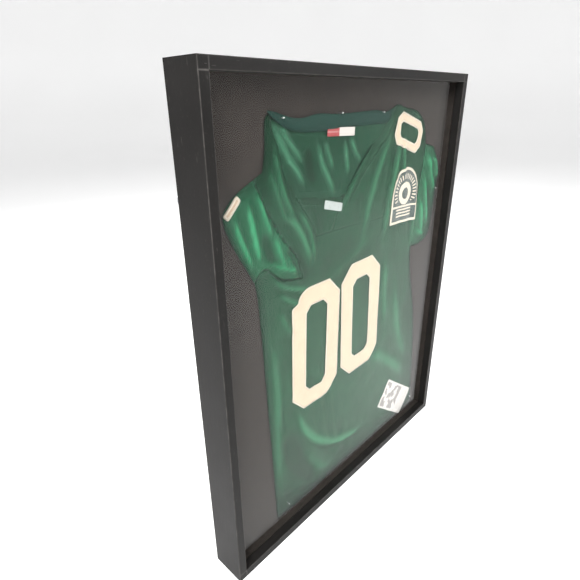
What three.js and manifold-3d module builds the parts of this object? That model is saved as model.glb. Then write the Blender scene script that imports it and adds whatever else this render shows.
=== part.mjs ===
// Jersey display frame: a deep black shadow box with glazing, a felt-lined display board, a full-front football
// jersey pinned inside, and the backing, turn buttons, hangers and bumpers at the rear.
// Millimetres. +Z up, the glazed front faces -Y, +X to the viewer's right.
// The origin is the middle of the bottom rail's underside.
import * as THREE from 'three';
import { mergeVertices } from 'three/addons/utils/BufferGeometryUtils.js';
import Module from 'manifold-3d';

// ---------- driving dimensions ----------
const OUT_W = 660;               // outside width of the frame
const OUT_H = 813;               // outside height of the frame
const DEPTH = 65;                // front face to back face of the moulding
const FACE_W = 15;               // width of the moulding's front face
const LIP_DEPTH = 15;            // depth of the inner return in front of the glazing
const LIP_OVERLAP = 4;           // how far the lip reaches over the glazing's edge
const ARRIS_R = 0.9;             // rounding of the moulding's long edges
const GLUE_LINE = 0.1;           // thickness of glue in each mitre

const GLAZING_T = 2.4;           // clear acrylic sheet
const ROOM_DEPTH = 12;           // free depth behind the glazing for the jersey
const FELT_T = 1.2;              // felt facing of the display board
const BOARD_T = 5;               // display board
const BACK_T = 3;                // hardboard back panel
const SHEET_PLAY = 0.8;          // gap between a sheet's edge and the rabbet, each side
const STACK_GAP = 0.2;           // gap between neighbouring layers

const VNAIL = { leg: 4.2, thick: 0.6, deep: 10, sink: 0.3, fit: 0.15 };
const BUTTON = { len: 34, width: 10, thick: 1.2, eye: 5, holeR: 1.9, lift: 0.15 };
const SCREW = { r: 1.5, headR: 2.7, headT: 1.7, bite: 12, fit: 0.12, sides: 16 };
const RING = { wireR: 0.9, width: 9.2, leg: 7.2, bend: 1.2, gap: 0.3 };
const STRAP = { width: 6.6, thick: 0.9, loopFit: 0.25, len: 22, holeR: 1.65 };
const BUMPER = { r: 4.5, thick: 3, dome: 0.8 };
const PIN = { shaftR: 0.4, headR: 1.5, len: 15, fit: 0.2 };
const SEAT = 0.05;               // gap under a part that is screwed or stuck to a face

const PATCH_T = 0.8;             // numeral, badge or tag
const PATCH_GAP = 0.3;           // gap between a patch and the cloth under it
const BADGE_CLEAR = 20;          // cloth between the shoulder numeral and the badge below it
const CLOTH_GAP = 0.6;           // gap between neighbouring cloth solids

// ---------- what follows from them ----------
const WALL = FACE_W - LIP_OVERLAP;
const FRONT_Y = -DEPTH / 2;
const BACK_Y = DEPTH / 2;
const GLAZING_Y = FRONT_Y + LIP_DEPTH + STACK_GAP;
const ROOM_Y = GLAZING_Y + GLAZING_T + STACK_GAP;
const FELT_Y = ROOM_Y + ROOM_DEPTH + STACK_GAP;
const BOARD_Y = FELT_Y + FELT_T;
const BACK_PANEL_Y = BACK_Y - BACK_T;
const FILLER_Y = BOARD_Y + BOARD_T + STACK_GAP;
const FILLER_T = BACK_PANEL_Y - STACK_GAP - FILLER_Y;
const RABBET_W = OUT_W - 2 * WALL;
const RABBET_H = OUT_H - 2 * WALL;
const SHEET_W = RABBET_W - 2 * SHEET_PLAY;
const SHEET_H = RABBET_H - 2 * SHEET_PLAY;
const SIGHT_W = OUT_W - 2 * FACE_W;
const SIGHT_H = OUT_H - 2 * FACE_W;
const SPACER_T = LIP_OVERLAP - SHEET_PLAY;
const MID_Z = OUT_H / 2;
const BUTTON_LOW = 0.27 * OUT_H;
const BUTTON_HIGH = 0.63 * OUT_H;
const HANGER_Z = 0.81 * OUT_H;
const HARDWARE_IN = WALL / 2;    // hardware centre line, in from the outer face
const RING_IN = 5.6;             // hanger centre line, in from the outer face

// ---------- materials ----------
const paint = (color, roughness, metalness = 0, extra = {}) =>
  new THREE.MeshStandardMaterial({ color, roughness, metalness, ...extra });
const SATIN_BLACK = paint(0x1b1a19, 0.38);
const ACRYLIC = paint(0xe8f0f0, 0.05, 0, { transparent: true, opacity: 0.25 });
const FELT = paint(0x3a3632, 0.95);
const FOAM_BOARD = paint(0x222222, 0.8);
const CARD = paint(0xb49468, 0.9);
const HARDBOARD = paint(0x6b4a2f, 0.7);
const JERSEY_GREEN = paint(0x1f5a3c, 0.5);
const COLLAR_GREEN = paint(0x16422d, 0.6);
const TWILL_WHITE = paint(0xd9d2c4, 0.7);
const STEEL = paint(0xb8babd, 0.3, 1);
const ZINC = paint(0xc7c9cc, 0.35, 1);
const RUBBER = paint(0x2a2a2a, 0.9);

// ---------- solids ----------
const wasm = await Module();
wasm.setup();

function bare(geometry) {
  const g = geometry.clone();
  g.deleteAttribute('normal');
  g.deleteAttribute('uv');
  return mergeVertices(g, 1e-4);
}

function toSolid(geometry) {
  const g = bare(geometry);
  return new wasm.Manifold(new wasm.Mesh({
    numProp: 3,
    vertProperties: new Float32Array(g.attributes.position.array),
    triVerts: new Uint32Array(g.index.array),
  }));
}

function fromSolid(solid) {
  const m = solid.getMesh();
  const g = new THREE.BufferGeometry();
  const flat = new Float32Array(m.numVert * 3);
  for (let i = 0; i < m.numVert; i += 1) {
    for (let k = 0; k < 3; k += 1) {
      flat[3 * i + k] = m.vertProperties[m.numProp * i + k];
    }
  }
  g.setAttribute('position', new THREE.BufferAttribute(flat, 3));
  g.setIndex(new THREE.BufferAttribute(new Uint32Array(m.triVerts), 1));
  return g;
}

function cut(geometry, cutters) {
  let solid = toSolid(geometry);
  for (const cutter of cutters) {
    solid = solid.subtract(toSolid(cutter));
  }
  return fromSolid(solid);
}

const root = new THREE.Group();
root.name = 'jersey_display_frame';

function add(name, geometry, material) {
  const g = geometry.index ? geometry.toNonIndexed() : geometry.clone();
  g.computeVertexNormals();
  const mesh = new THREE.Mesh(g, material);
  mesh.name = name;
  root.add(mesh);
  return mesh;
}

// A slab lying in the XZ plane: an outline of [x, z] points, from y0 and `thick` deep towards +Y.
function slab(outline, y0, thick, holes = []) {
  const shape = new THREE.Shape(outline.map(([x, z]) => new THREE.Vector2(x, z)));
  for (const hole of holes) {
    shape.holes.push(new THREE.Path(hole.map(([x, z]) => new THREE.Vector2(x, z))));
  }
  const g = new THREE.ExtrudeGeometry(shape, {
    depth: thick, bevelEnabled: false, curveSegments: 8,
  });
  g.rotateX(Math.PI / 2);
  g.translate(0, y0 + thick, 0);
  return g;
}

function sheet(width, height, y0, thick) {
  const g = new THREE.BoxGeometry(width, thick, height);
  g.translate(0, y0 + thick / 2, MID_Z);
  return g;
}

// A rod along Y, from y0 to y1.
function rod(r, x, z, y0, y1, sides = SCREW.sides) {
  const g = new THREE.CylinderGeometry(r, r, y1 - y0, sides);
  g.translate(x, (y0 + y1) / 2, z);
  return g;
}

// ---------- moulding ----------
// Section of the moulding: u runs in from the outer face, v runs back from the front face.
function mouldingSection() {
  const shape = new THREE.Shape();
  shape.moveTo(ARRIS_R, 0);
  shape.lineTo(FACE_W - ARRIS_R, 0);
  shape.quadraticCurveTo(FACE_W, 0, FACE_W, ARRIS_R);
  shape.lineTo(FACE_W, LIP_DEPTH);
  shape.lineTo(WALL, LIP_DEPTH);
  shape.lineTo(WALL, DEPTH);
  shape.lineTo(ARRIS_R, DEPTH);
  shape.quadraticCurveTo(0, DEPTH, 0, DEPTH - ARRIS_R);
  shape.lineTo(0, ARRIS_R);
  shape.quadraticCurveTo(0, 0, ARRIS_R, 0);
  return shape;
}

// One length of moulding along +X at the bottom of the frame, both ends mitred.
function mitredLength(length) {
  const g = new THREE.ExtrudeGeometry(mouldingSection(), {
    depth: length, bevelEnabled: false, curveSegments: 4,
  });
  const p = g.attributes.position;
  const back = GLUE_LINE / Math.SQRT2;
  for (let i = 0; i < p.count; i += 1) {
    const u = p.getX(i);
    const v = p.getY(i);
    const far = p.getZ(i) > length / 2;
    const x = far ? length / 2 - u - back : -length / 2 + u + back;
    p.setXYZ(i, x, FRONT_Y + v, u);
  }
  return g;
}

// Flips a solid's faces where a change of axes has turned it inside out.
function outward(geometry) {
  const g = bare(geometry);
  const p = g.attributes.position;
  const index = g.index.array;
  let volume = 0;
  const a = new THREE.Vector3();
  const b = new THREE.Vector3();
  const c = new THREE.Vector3();
  for (let i = 0; i < index.length; i += 3) {
    a.fromBufferAttribute(p, index[i]);
    b.fromBufferAttribute(p, index[i + 1]);
    c.fromBufferAttribute(p, index[i + 2]);
    volume += a.dot(b.cross(c));
  }
  if (volume < 0) {
    for (let i = 0; i < index.length; i += 3) {
      [index[i + 1], index[i + 2]] = [index[i + 2], index[i + 1]];
    }
  }
  return g;
}

function placed(geometry, turn, x, z) {
  const g = geometry.clone();
  g.rotateY(-turn);
  g.translate(x, 0, z);
  return g;
}

const MOULDINGS = [
  { name: 'frame_rail_bottom', length: OUT_W, turn: 0, x: 0, z: 0 },
  { name: 'frame_stile_right', length: OUT_H, turn: Math.PI / 2, x: OUT_W / 2, z: MID_Z },
  { name: 'frame_rail_top', length: OUT_W, turn: Math.PI, x: 0, z: OUT_H },
  { name: 'frame_stile_left', length: OUT_H, turn: -Math.PI / 2, x: -OUT_W / 2, z: MID_Z },
];

// ---------- corner fasteners ----------
const CORNERS = [
  { name: 'left_bottom', sx: -1, z: 0, sz: 1 },
  { name: 'right_bottom', sx: 1, z: 0, sz: 1 },
  { name: 'right_top', sx: 1, z: OUT_H, sz: -1 },
  { name: 'left_top', sx: -1, z: OUT_H, sz: -1 },
];

// A V-shaped nail with its bend on the mitre line and one leg in each length of moulding.
function vNail(corner, grow) {
  const bend = 0.36 * WALL;
  const t = VNAIL.thick / 2 + grow;
  const tip = VNAIL.leg + grow;
  const outline = [
    [bend - t, bend - t],
    [bend + tip, bend - t],
    [bend + tip, bend + t],
    [bend + t, bend + t],
    [bend + t, bend + tip],
    [bend - t, bend + tip],
  ].map(([a, b]) => [corner.sx * (OUT_W / 2 - a), corner.z + corner.sz * b]);
  const top = BACK_Y - VNAIL.sink + (grow > 0 ? VNAIL.sink + 1 : 0);
  const foot = BACK_Y - VNAIL.sink - VNAIL.deep - grow;
  return outward(slab(outline, foot, top - foot));
}

// ---------- rear hardware places ----------
const BUTTONS = [
  { name: 'left_lower', x: -OUT_W / 2 + HARDWARE_IN, z: BUTTON_LOW, dx: 1, dz: 0 },
  { name: 'left_upper', x: -OUT_W / 2 + HARDWARE_IN, z: BUTTON_HIGH, dx: 1, dz: 0 },
  { name: 'right_lower', x: OUT_W / 2 - HARDWARE_IN, z: BUTTON_LOW, dx: -1, dz: 0 },
  { name: 'right_upper', x: OUT_W / 2 - HARDWARE_IN, z: BUTTON_HIGH, dx: -1, dz: 0 },
  { name: 'top', x: 0, z: OUT_H - HARDWARE_IN, dx: 0, dz: -1 },
  { name: 'bottom', x: 0, z: HARDWARE_IN, dx: 0, dz: 1 },
];
const HANGERS = [
  { name: 'left', x: -OUT_W / 2 + RING_IN },
  { name: 'right', x: OUT_W / 2 - RING_IN },
];
const HANGER_SCREW_DROP = RING.leg - 0.6;

const screwSpots = [
  ...BUTTONS.map(({ x, z }) => [x, z]),
  ...HANGERS.map(({ x }) => [x, HANGER_Z - HANGER_SCREW_DROP]),
];
const pilots = screwSpots.map(([x, z]) =>
  rod(SCREW.r + SCREW.fit, x, z, BACK_Y - SCREW.bite - 0.5, BACK_Y + 1));
const nailPockets = CORNERS.map((corner) => vNail(corner, VNAIL.fit));

for (const m of MOULDINGS) {
  const length = placed(mitredLength(m.length), m.turn, m.x, m.z);
  add(m.name, cut(outward(length), [...nailPockets, ...pilots]), SATIN_BLACK);
}
for (const corner of CORNERS) {
  add(`corner_nail_${corner.name}`, vNail(corner, 0), STEEL);
}

// ---------- glazing, spacers and boards ----------
add('glazing_sheet', sheet(SHEET_W, SHEET_H, GLAZING_Y, GLAZING_T), ACRYLIC);

const SPACER_H = SHEET_H - 2 * SPACER_T - 2 * STACK_GAP;
for (const [side, sx] of [['left', -1], ['right', 1]]) {
  const g = new THREE.BoxGeometry(SPACER_T, ROOM_DEPTH, SPACER_H);
  g.translate(sx * (SHEET_W - SPACER_T) / 2, ROOM_Y + ROOM_DEPTH / 2, MID_Z);
  add(`spacer_${side}`, g, FELT);
}
for (const [side, sz] of [['bottom', -1], ['top', 1]]) {
  const g = new THREE.BoxGeometry(SHEET_W, ROOM_DEPTH, SPACER_T);
  g.translate(0, ROOM_Y + ROOM_DEPTH / 2, MID_Z + sz * (SHEET_H - SPACER_T) / 2);
  add(`spacer_${side}`, g, FELT);
}

// ---------- jersey ----------
// A point of the display area: across from its middle in half widths, up from its foot in heights.
const spot = (across, up) => [across * SIGHT_W / 2, FACE_W + up * SIGHT_H];

const CLOTH_BACK = ROOM_Y + ROOM_DEPTH - 0.5;
const BODY_T = 8;
const BODY_Y = CLOTH_BACK - BODY_T;
const COLLAR_T = 7;
const INNER_T = 3;

const NECK = {
  left: [-0.62, 0.915],
  lowLeft: [-0.486, 0.793],
  lowRight: [-0.13, 0.777],
  right: [0.262, 0.922],
};
const shifted = ([a, b], da, db) => [a + da / (SIGHT_W / 2), b + db / SIGHT_H];

const bodyOutline = [
  NECK.left, NECK.lowLeft, NECK.lowRight, NECK.right, [0.45, 0.945], [0.70, 0.87],
  [0.66, 0.60], [0.82, 0.38], [0.93, 0.008],
  [-0.68, 0.008], [-0.735, 0.38], [-0.735, 0.60], [-0.70, 0.78],
].map(([a, b]) => spot(a, b));
const innerBackOutline = [
  shifted(NECK.left, 1.5, 0.9), shifted(NECK.right, -1.5, 0.9),
  shifted(NECK.lowRight, -0.6, 0.8), shifted(NECK.lowLeft, 0.6, 0.8),
].map(([a, b]) => spot(a, b));
const collarOutline = [
  shifted(NECK.left, -6, 2), shifted(NECK.left, -14, 24), [-0.18, 0.952], [0.3, 0.948],
  shifted(NECK.right, 8, 8), shifted(NECK.right, -1, 2),
].map(([a, b]) => spot(a, b));
const sleeveRightOutline = [
  shifted([0.70, 0.87], CLOTH_GAP, 0), [0.90, 0.79], [0.985, 0.74], [0.965, 0.66], [0.84, 0.575],
  shifted([0.66, 0.60], CLOTH_GAP, 0),
].map(([a, b]) => spot(a, b));
const sleeveLeftOutline = [
  shifted(NECK.left, -8, -3), shifted([-0.70, 0.78], -CLOTH_GAP, 0),
  shifted([-0.735, 0.60], -CLOTH_GAP, 0),
  [-0.80, 0.52], [-0.90, 0.66], [-0.94, 0.775], [-0.74, 0.865],
].map(([a, b]) => spot(a, b));

// ---------- pins ----------
const PINS = [
  { name: 'collar_left', at: spot(-0.58, 0.934), y: CLOTH_BACK - COLLAR_T },
  { name: 'collar_center', at: spot(-0.17, 0.938), y: CLOTH_BACK - COLLAR_T },
  { name: 'collar_right', at: spot(0.20, 0.936), y: CLOTH_BACK - COLLAR_T },
  { name: 'sleeve_right', at: spot(0.90, 0.735), y: BODY_Y },
  { name: 'hem_left', at: spot(-0.59, 0.045), y: BODY_Y },
  { name: 'hem_right', at: spot(0.86, 0.05), y: BODY_Y },
];
const pinHoles = PINS.map(({ at, y }) =>
  rod(PIN.shaftR + PIN.fit, at[0], at[1], y - 4, y + PIN.len + 0.6, 8));

function pin(x, z, y) {
  const points = [new THREE.Vector2(0, 0)];
  for (let i = 1; i < 6; i += 1) {
    const a = Math.PI * i / 6.4;
    points.push(new THREE.Vector2(PIN.headR * Math.sin(a), PIN.headR * (1 - Math.cos(a))));
  }
  const neck = points[points.length - 1].y;
  points.push(new THREE.Vector2(PIN.shaftR, neck));
  points.push(new THREE.Vector2(PIN.shaftR, neck + PIN.len - 3));
  points.push(new THREE.Vector2(0, neck + PIN.len));
  const g = new THREE.LatheGeometry(points, 10);
  g.translate(x, y - neck - 0.2, z);
  return outward(g);
}

add('board_felt', cut(sheet(SHEET_W, SHEET_H, FELT_Y, FELT_T), pinHoles), FELT);
add('display_board', cut(sheet(SHEET_W, SHEET_H, BOARD_Y, BOARD_T), pinHoles), FOAM_BOARD);
add('filler_board', sheet(SHEET_W, SHEET_H, FILLER_Y, FILLER_T), CARD);
add('back_panel', sheet(SHEET_W, SHEET_H, BACK_PANEL_Y, BACK_T), HARDBOARD);

const cloth = (outline, y0, thick) => cut(outward(slab(outline, y0, thick)), pinHoles);
add('jersey_body', cloth(bodyOutline, BODY_Y, BODY_T), JERSEY_GREEN);
add('jersey_back_inside', cloth(innerBackOutline, CLOTH_BACK - INNER_T, INNER_T), JERSEY_GREEN);
add('jersey_collar', cloth(collarOutline, CLOTH_BACK - COLLAR_T, COLLAR_T), COLLAR_GREEN);
add('jersey_sleeve_right', cloth(sleeveRightOutline, BODY_Y, BODY_T), JERSEY_GREEN);
add('jersey_sleeve_left', cloth(sleeveLeftOutline, BODY_Y, BODY_T), JERSEY_GREEN);
for (const { name, at, y } of PINS) {
  add(`pin_${name}`, pin(at[0], at[1], y), STEEL);
}

// ---------- numerals, badge and tags ----------
const PATCH_Y = BODY_Y - PATCH_GAP - PATCH_T;

// A block nought with cut corners, as outer and inner rings of [x, z] about its middle.
function nought(width, height, stroke) {
  const ring = (w, h, c) => [
    [-w / 2 + c, -h / 2], [w / 2 - c, -h / 2], [w / 2, -h / 2 + c], [w / 2, h / 2 - c],
    [w / 2 - c, h / 2], [-w / 2 + c, h / 2], [-w / 2, h / 2 - c], [-w / 2, -h / 2 + c],
  ];
  return [
    ring(width, height, 0.24 * width),
    ring(width - 2 * stroke, height - 2 * stroke, 0.09 * width),
  ];
}

function patch(rings, [cx, cz], turn, y0) {
  const c = Math.cos(turn);
  const s = Math.sin(turn);
  const turned = ([x, z]) => [cx + c * x - s * z, cz + s * x + c * z];
  const [outer, ...holes] = rings.map((ring) => ring.map(turned));
  return outward(slab(outer, y0, PATCH_T, holes));
}

const CHEST_W = 0.4 * SIGHT_W / 2;
const CHEST_H = 0.305 * SIGHT_H;
const chestNought = nought(CHEST_W, CHEST_H, 0.28 * CHEST_W);
add('numeral_chest_left', patch(chestNought, spot(-0.328, 0.445), -0.01, PATCH_Y), TWILL_WHITE);
add('numeral_chest_right', patch(chestNought, spot(0.098, 0.457), 0.03, PATCH_Y), TWILL_WHITE);

const SHOULDER_W = 0.19 * SIGHT_W / 2;
const SHOULDER_H = 0.125 * SIGHT_H;
const SHOULDER = { at: spot(0.515, 0.886), turn: -1.86 };
add('numeral_shoulder_right', patch(
  nought(SHOULDER_W, SHOULDER_H, 0.27 * SHOULDER_W), SHOULDER.at, SHOULDER.turn, PATCH_Y), TWILL_WHITE);

function archOutline(width, height) {
  const r = width / 2;
  const points = [[-r, 0], [r, 0]];
  for (let i = 0; i <= 10; i += 1) {
    const a = Math.PI * i / 10;
    points.push([r * Math.cos(a), height - r + r * Math.sin(a)]);
  }
  return points;
}
const BADGE_W = 0.15 * SIGHT_W;
const BADGE_H = 1.15 * BADGE_W;
const numeralReach = (SHOULDER_W * Math.abs(Math.sin(SHOULDER.turn))
  + SHOULDER_H * Math.abs(Math.cos(SHOULDER.turn))) / 2;
const badgeFoot = [SHOULDER.at[0], SHOULDER.at[1] - numeralReach - BADGE_CLEAR - BADGE_H];
add('sleeve_badge', patch([archOutline(BADGE_W, BADGE_H)], badgeFoot, -0.04, PATCH_Y), TWILL_WHITE);

const rectangle = (w, h) => [[-w / 2, -h / 2], [w / 2, -h / 2], [w / 2, h / 2], [-w / 2, h / 2]];
// Only one stroke of the left shoulder's numeral shows: the rest goes round the fold of the sleeve.
const foldedNumeral = rectangle(0.17 * SHOULDER_W, 0.35 * SHOULDER_H);
add('numeral_shoulder_left', patch([foldedNumeral], spot(-0.872, 0.797), -0.79, PATCH_Y), TWILL_WHITE);
const hemTag = rectangle(0.225 * SIGHT_W / 2, 0.174 * SIGHT_H);
add('hem_tag', patch([hemTag], spot(0.629, 0.093), 0.93, PATCH_Y), TWILL_WHITE);
const INNER_PATCH_Y = CLOTH_BACK - INNER_T - PATCH_GAP - PATCH_T;
const neckLabel = rectangle(0.22 * SIGHT_W / 2, 13);
add('neck_label', patch([neckLabel], spot(-0.156, 0.903), -0.03, INNER_PATCH_Y), TWILL_WHITE);
add('front_sticker', patch([rectangle(46, 14)], spot(-0.2, 0.757), -0.25, PATCH_Y), ZINC);

// ---------- turn buttons ----------
function buttonStrip({ x, z, dx, dz }) {
  const shape = new THREE.Shape();
  const r = BUTTON.width / 2;
  const tip = BUTTON.len - BUTTON.eye - r;
  shape.absarc(0, 0, r, Math.PI / 2, 3 * Math.PI / 2, false);
  shape.absarc(tip, 0, r, -Math.PI / 2, Math.PI / 2, false);
  const eye = new THREE.Path();
  eye.absarc(0, 0, BUTTON.holeR, 0, 2 * Math.PI, true);
  shape.holes.push(eye);
  const g = new THREE.ExtrudeGeometry(shape, {
    depth: BUTTON.thick, bevelEnabled: false, curveSegments: 10,
  });
  g.rotateX(Math.PI / 2);
  g.rotateY(-Math.atan2(dz, dx));
  g.translate(x, BACK_Y + BUTTON.lift + BUTTON.thick, z);
  return outward(g);
}

// A round-head screw with its shank towards -Y; `under` is the plane below its head.
function screw(x, z, under) {
  const head = [
    [0, SCREW.headT], [SCREW.headR * 0.45, SCREW.headT * 0.95], [SCREW.headR * 0.85, SCREW.headT * 0.62],
    [SCREW.headR, SCREW.headT * 0.2], [SCREW.headR, 0], [SCREW.r, 0],
    [SCREW.r, BACK_Y - SCREW.bite + 2.5 - under], [0, BACK_Y - SCREW.bite - under],
  ].map(([r, h]) => new THREE.Vector2(r, h));
  const g = new THREE.LatheGeometry(head, SCREW.sides);
  g.translate(x, under, z);
  const slot = new THREE.BoxGeometry(2 * SCREW.headR + 1, 0.7, 0.7);
  slot.rotateY(0.6 + z / 90);
  slot.translate(x, under + SCREW.headT, z);
  return cut(outward(g), [slot]);
}

for (const button of BUTTONS) {
  add(`turn_button_${button.name}`, buttonStrip(button), ZINC);
  add(`button_screw_${button.name}`,
    screw(button.x, button.z, BACK_Y + 2 * BUTTON.lift + BUTTON.thick), STEEL);
}

// ---------- hangers ----------
const LOOP_R = RING.wireR + STRAP.loopFit;
const AXIS_Y = BACK_Y + SEAT + STRAP.thick + LOOP_R;

// Strap: a flat plate below, rolled over into a loop that holds the ring's bar.
function strap(x) {
  const shape = new THREE.Shape();
  const outerR = LOOP_R + STRAP.thick;
  const close = 0.72 * Math.PI;
  shape.moveTo(-STRAP.len, -outerR);
  shape.lineTo(0, -outerR);
  shape.absarc(0, 0, outerR, -Math.PI / 2, close, false);
  shape.absarc(0, 0, LOOP_R, close, -Math.PI / 2, true);
  shape.lineTo(-STRAP.len, -LOOP_R);
  const g = new THREE.ExtrudeGeometry(shape, {
    depth: STRAP.width, bevelEnabled: false, curveSegments: 10,
  });
  const axes = new THREE.Matrix4().makeBasis(
    new THREE.Vector3(0, 0, 1), new THREE.Vector3(0, 1, 0), new THREE.Vector3(-1, 0, 0));
  g.applyMatrix4(axes);
  g.translate(x + STRAP.width / 2, AXIS_Y, HANGER_Z);
  const screwZ = HANGER_Z - HANGER_SCREW_DROP;
  const hole = rod(STRAP.holeR, x, screwZ, BACK_Y - 1, AXIS_Y - LOOP_R + 0.4);
  return cut(outward(g), [hole]);
}

// Ring: one wire bent into a D, its ends meeting inside the strap's loop; it hangs down over the strap.
class RingPath extends THREE.Curve {
  constructor() {
    super();
    const half = RING.width / 2;
    this.start = new THREE.Vector3(RING.gap / 2, 0, 0);
    const pts = [this.start];
    pts.push(new THREE.Vector3(half - RING.bend, 0, 0));
    for (let i = 1; i <= 4; i += 1) {
      const a = Math.PI / 2 * i / 4;
      pts.push(new THREE.Vector3(
        half - RING.bend + RING.bend * Math.sin(a), 0, -RING.bend + RING.bend * Math.cos(a)));
    }
    for (let i = 0; i <= 12; i += 1) {
      const a = Math.PI * i / 12;
      pts.push(new THREE.Vector3(half * Math.cos(a), 0, -RING.leg - half * Math.sin(a)));
    }
    const right = pts.slice(1, 6);
    for (const p of right.reverse()) {
      pts.push(new THREE.Vector3(-p.x, 0, p.z));
    }
    pts.push(new THREE.Vector3(-RING.gap / 2, 0, 0));
    this.points = pts;
    this.lengths = [0];
    for (let i = 1; i < pts.length; i += 1) {
      this.lengths.push(this.lengths[i - 1] + pts[i].distanceTo(pts[i - 1]));
    }
  }

  getPoint(t, target = new THREE.Vector3()) {
    const s = t * this.lengths[this.lengths.length - 1];
    let i = 1;
    while (i < this.lengths.length - 1 && this.lengths[i] < s) {
      i += 1;
    }
    const span = this.lengths[i] - this.lengths[i - 1];
    return target.lerpVectors(this.points[i - 1], this.points[i], (s - this.lengths[i - 1]) / span);
  }
}

function ring(x) {
  const wire = new THREE.Shape();
  wire.absarc(0, 0, RING.wireR, 0, 2 * Math.PI, false);
  const g = new THREE.ExtrudeGeometry(wire, {
    steps: 44, curveSegments: 5, bevelEnabled: false, extrudePath: new RingPath(),
  });
  g.translate(x, AXIS_Y, HANGER_Z);
  return outward(g);
}

for (const { name, x } of HANGERS) {
  add(`hanger_strap_${name}`, strap(x), ZINC);
  add(`hanger_ring_${name}`, ring(x), ZINC);
  const under = BACK_Y + 2 * SEAT + STRAP.thick;
  add(`hanger_screw_${name}`, screw(x, HANGER_Z - HANGER_SCREW_DROP, under), STEEL);
}

// ---------- wall bumpers ----------
for (const [name, sx] of [['left', -1], ['right', 1]]) {
  const profile = [
    [0, 0], [BUMPER.r, 0], [BUMPER.r, BUMPER.thick - BUMPER.dome],
    [BUMPER.r - BUMPER.dome, BUMPER.thick], [0, BUMPER.thick],
  ].map(([r, h]) => new THREE.Vector2(r, h));
  const g = new THREE.LatheGeometry(profile, 20);
  g.translate(sx * (OUT_W / 2 - 30), BACK_Y + SEAT, HARDWARE_IN);
  add(`wall_bumper_${name}`, outward(g), RUBBER);
}

export default root;
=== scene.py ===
"""Jersey display frame: a deep black shadow box with a pinned football jersey behind clear glazing.

Lengths are metres in the row frame: +Z up, the glazed front faces -Y, +X to the viewer's right.
"""
import math

import bmesh
import bpy
from mathutils import Matrix, Quaternion, Vector, noise
from mathutils.bvhtree import BVHTree
from mathutils.geometry import intersect_point_line


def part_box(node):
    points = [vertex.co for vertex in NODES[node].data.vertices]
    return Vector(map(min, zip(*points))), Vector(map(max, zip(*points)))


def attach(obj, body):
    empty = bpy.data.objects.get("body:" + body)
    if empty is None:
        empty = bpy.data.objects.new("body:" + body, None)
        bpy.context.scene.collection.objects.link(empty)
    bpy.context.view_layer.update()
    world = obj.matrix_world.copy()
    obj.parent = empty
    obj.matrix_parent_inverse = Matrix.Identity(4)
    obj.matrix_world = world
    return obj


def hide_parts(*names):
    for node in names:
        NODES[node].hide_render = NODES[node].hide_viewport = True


bl_info = {
    "name": "Jersey display frame",
    "version": (1, 0, 0),
    "blender": (4, 5, 0),
    "location": "View3D > Sidebar > Jersey frame",
    "description": "Builds the cloth, trimmings and finishes of a glazed jersey display frame",
    "category": "Object",
}

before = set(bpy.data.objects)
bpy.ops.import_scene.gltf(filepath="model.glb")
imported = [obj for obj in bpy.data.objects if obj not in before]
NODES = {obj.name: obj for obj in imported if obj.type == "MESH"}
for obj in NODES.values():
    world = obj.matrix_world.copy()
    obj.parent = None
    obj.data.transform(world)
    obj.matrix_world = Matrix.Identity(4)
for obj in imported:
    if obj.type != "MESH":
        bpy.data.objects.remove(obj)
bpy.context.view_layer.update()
CASE = "case"

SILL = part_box("frame_rail_bottom")[1].z
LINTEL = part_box("frame_rail_top")[0].z
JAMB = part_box("frame_stile_right")[0].x
SIGHT_H = LINTEL - SILL
CASE_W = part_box("frame_stile_right")[1].x
CASE_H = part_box("frame_rail_top")[1].z
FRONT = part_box("frame_rail_bottom")[0].y
GLASS_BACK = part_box("glazing_sheet")[1].y
CLOTH_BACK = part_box("jersey_body")[1].y
CLOTH_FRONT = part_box("jersey_body")[0].y
MM = 0.001


def spot(across, up):
    """A place on the display area: across in half widths, up in heights from its foot."""
    return Vector((across * JAMB, up * SIGHT_H + SILL))


# ---------------------------------------------------------------- lines and outlines

def smooth_line(points, steps=6):
    """A smooth line through places given as (across, up)."""
    pts = [spot(*p) for p in points]
    if len(pts) < 3:
        return pts
    line = []
    for i in range(len(pts) - 1):
        p0 = pts[max(i - 1, 0)]
        p1, p2 = pts[i], pts[i + 1]
        p3 = pts[min(i + 2, len(pts) - 1)]
        for k in range(steps):
            t = k / steps
            line.append(0.5 * (2 * p1 + (p2 - p0) * t + (2 * p0 - 5 * p1 + 4 * p2 - p3) * t * t
                               + (3 * p1 - p0 - 3 * p2 + p3) * t ** 3))
    line.append(pts[-1])
    return line


def closed_outline(sides):
    """One closed outline out of smooth sides that meet at corners."""
    outline = []
    for side in sides:
        outline += smooth_line(side)[:-1]
    return outline


def nearest_on(line, p):
    """(distance, run along the line, side) of a place from a line of places."""
    best = (1e9, 0.0, 1.0)
    run = 0.0
    for a, b in zip(line, line[1:]):
        d = b - a
        length = d.length
        if length < 1e-9:
            continue
        t = max(0.0, min(1.0, (p - a).dot(d) / (length * length)))
        off = p - (a + d * t)
        if off.length < best[0]:
            best = (off.length, run + t * length, 1.0 if d.x * off.y - d.y * off.x > 0 else -1.0)
        run += length
    return best


def line_length(line):
    return sum((b - a).length for a, b in zip(line, line[1:]))


def inside(outline, p):
    hit = False
    for a, b in zip(outline, outline[1:] + outline[:1]):
        if (a.y > p.y) != (b.y > p.y) and p.x < (b.x - a.x) * (p.y - a.y) / (b.y - a.y) + a.x:
            hit = not hit
    return hit


def ease(t):
    t = max(0.0, min(1.0, t))
    return t * t * (3 - 2 * t)


# ---------------------------------------------------------------- mesh helpers

WELD = 1e-6


def placed(name, data):
    """A new object in the scene, at the origin."""
    obj = bpy.data.objects.new(name, data)
    bpy.context.scene.collection.objects.link(obj)
    return obj


def mesh_from(bm, name):
    mesh = bpy.data.meshes.new(name)
    bm.to_mesh(mesh)
    bm.free()
    return mesh


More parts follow.
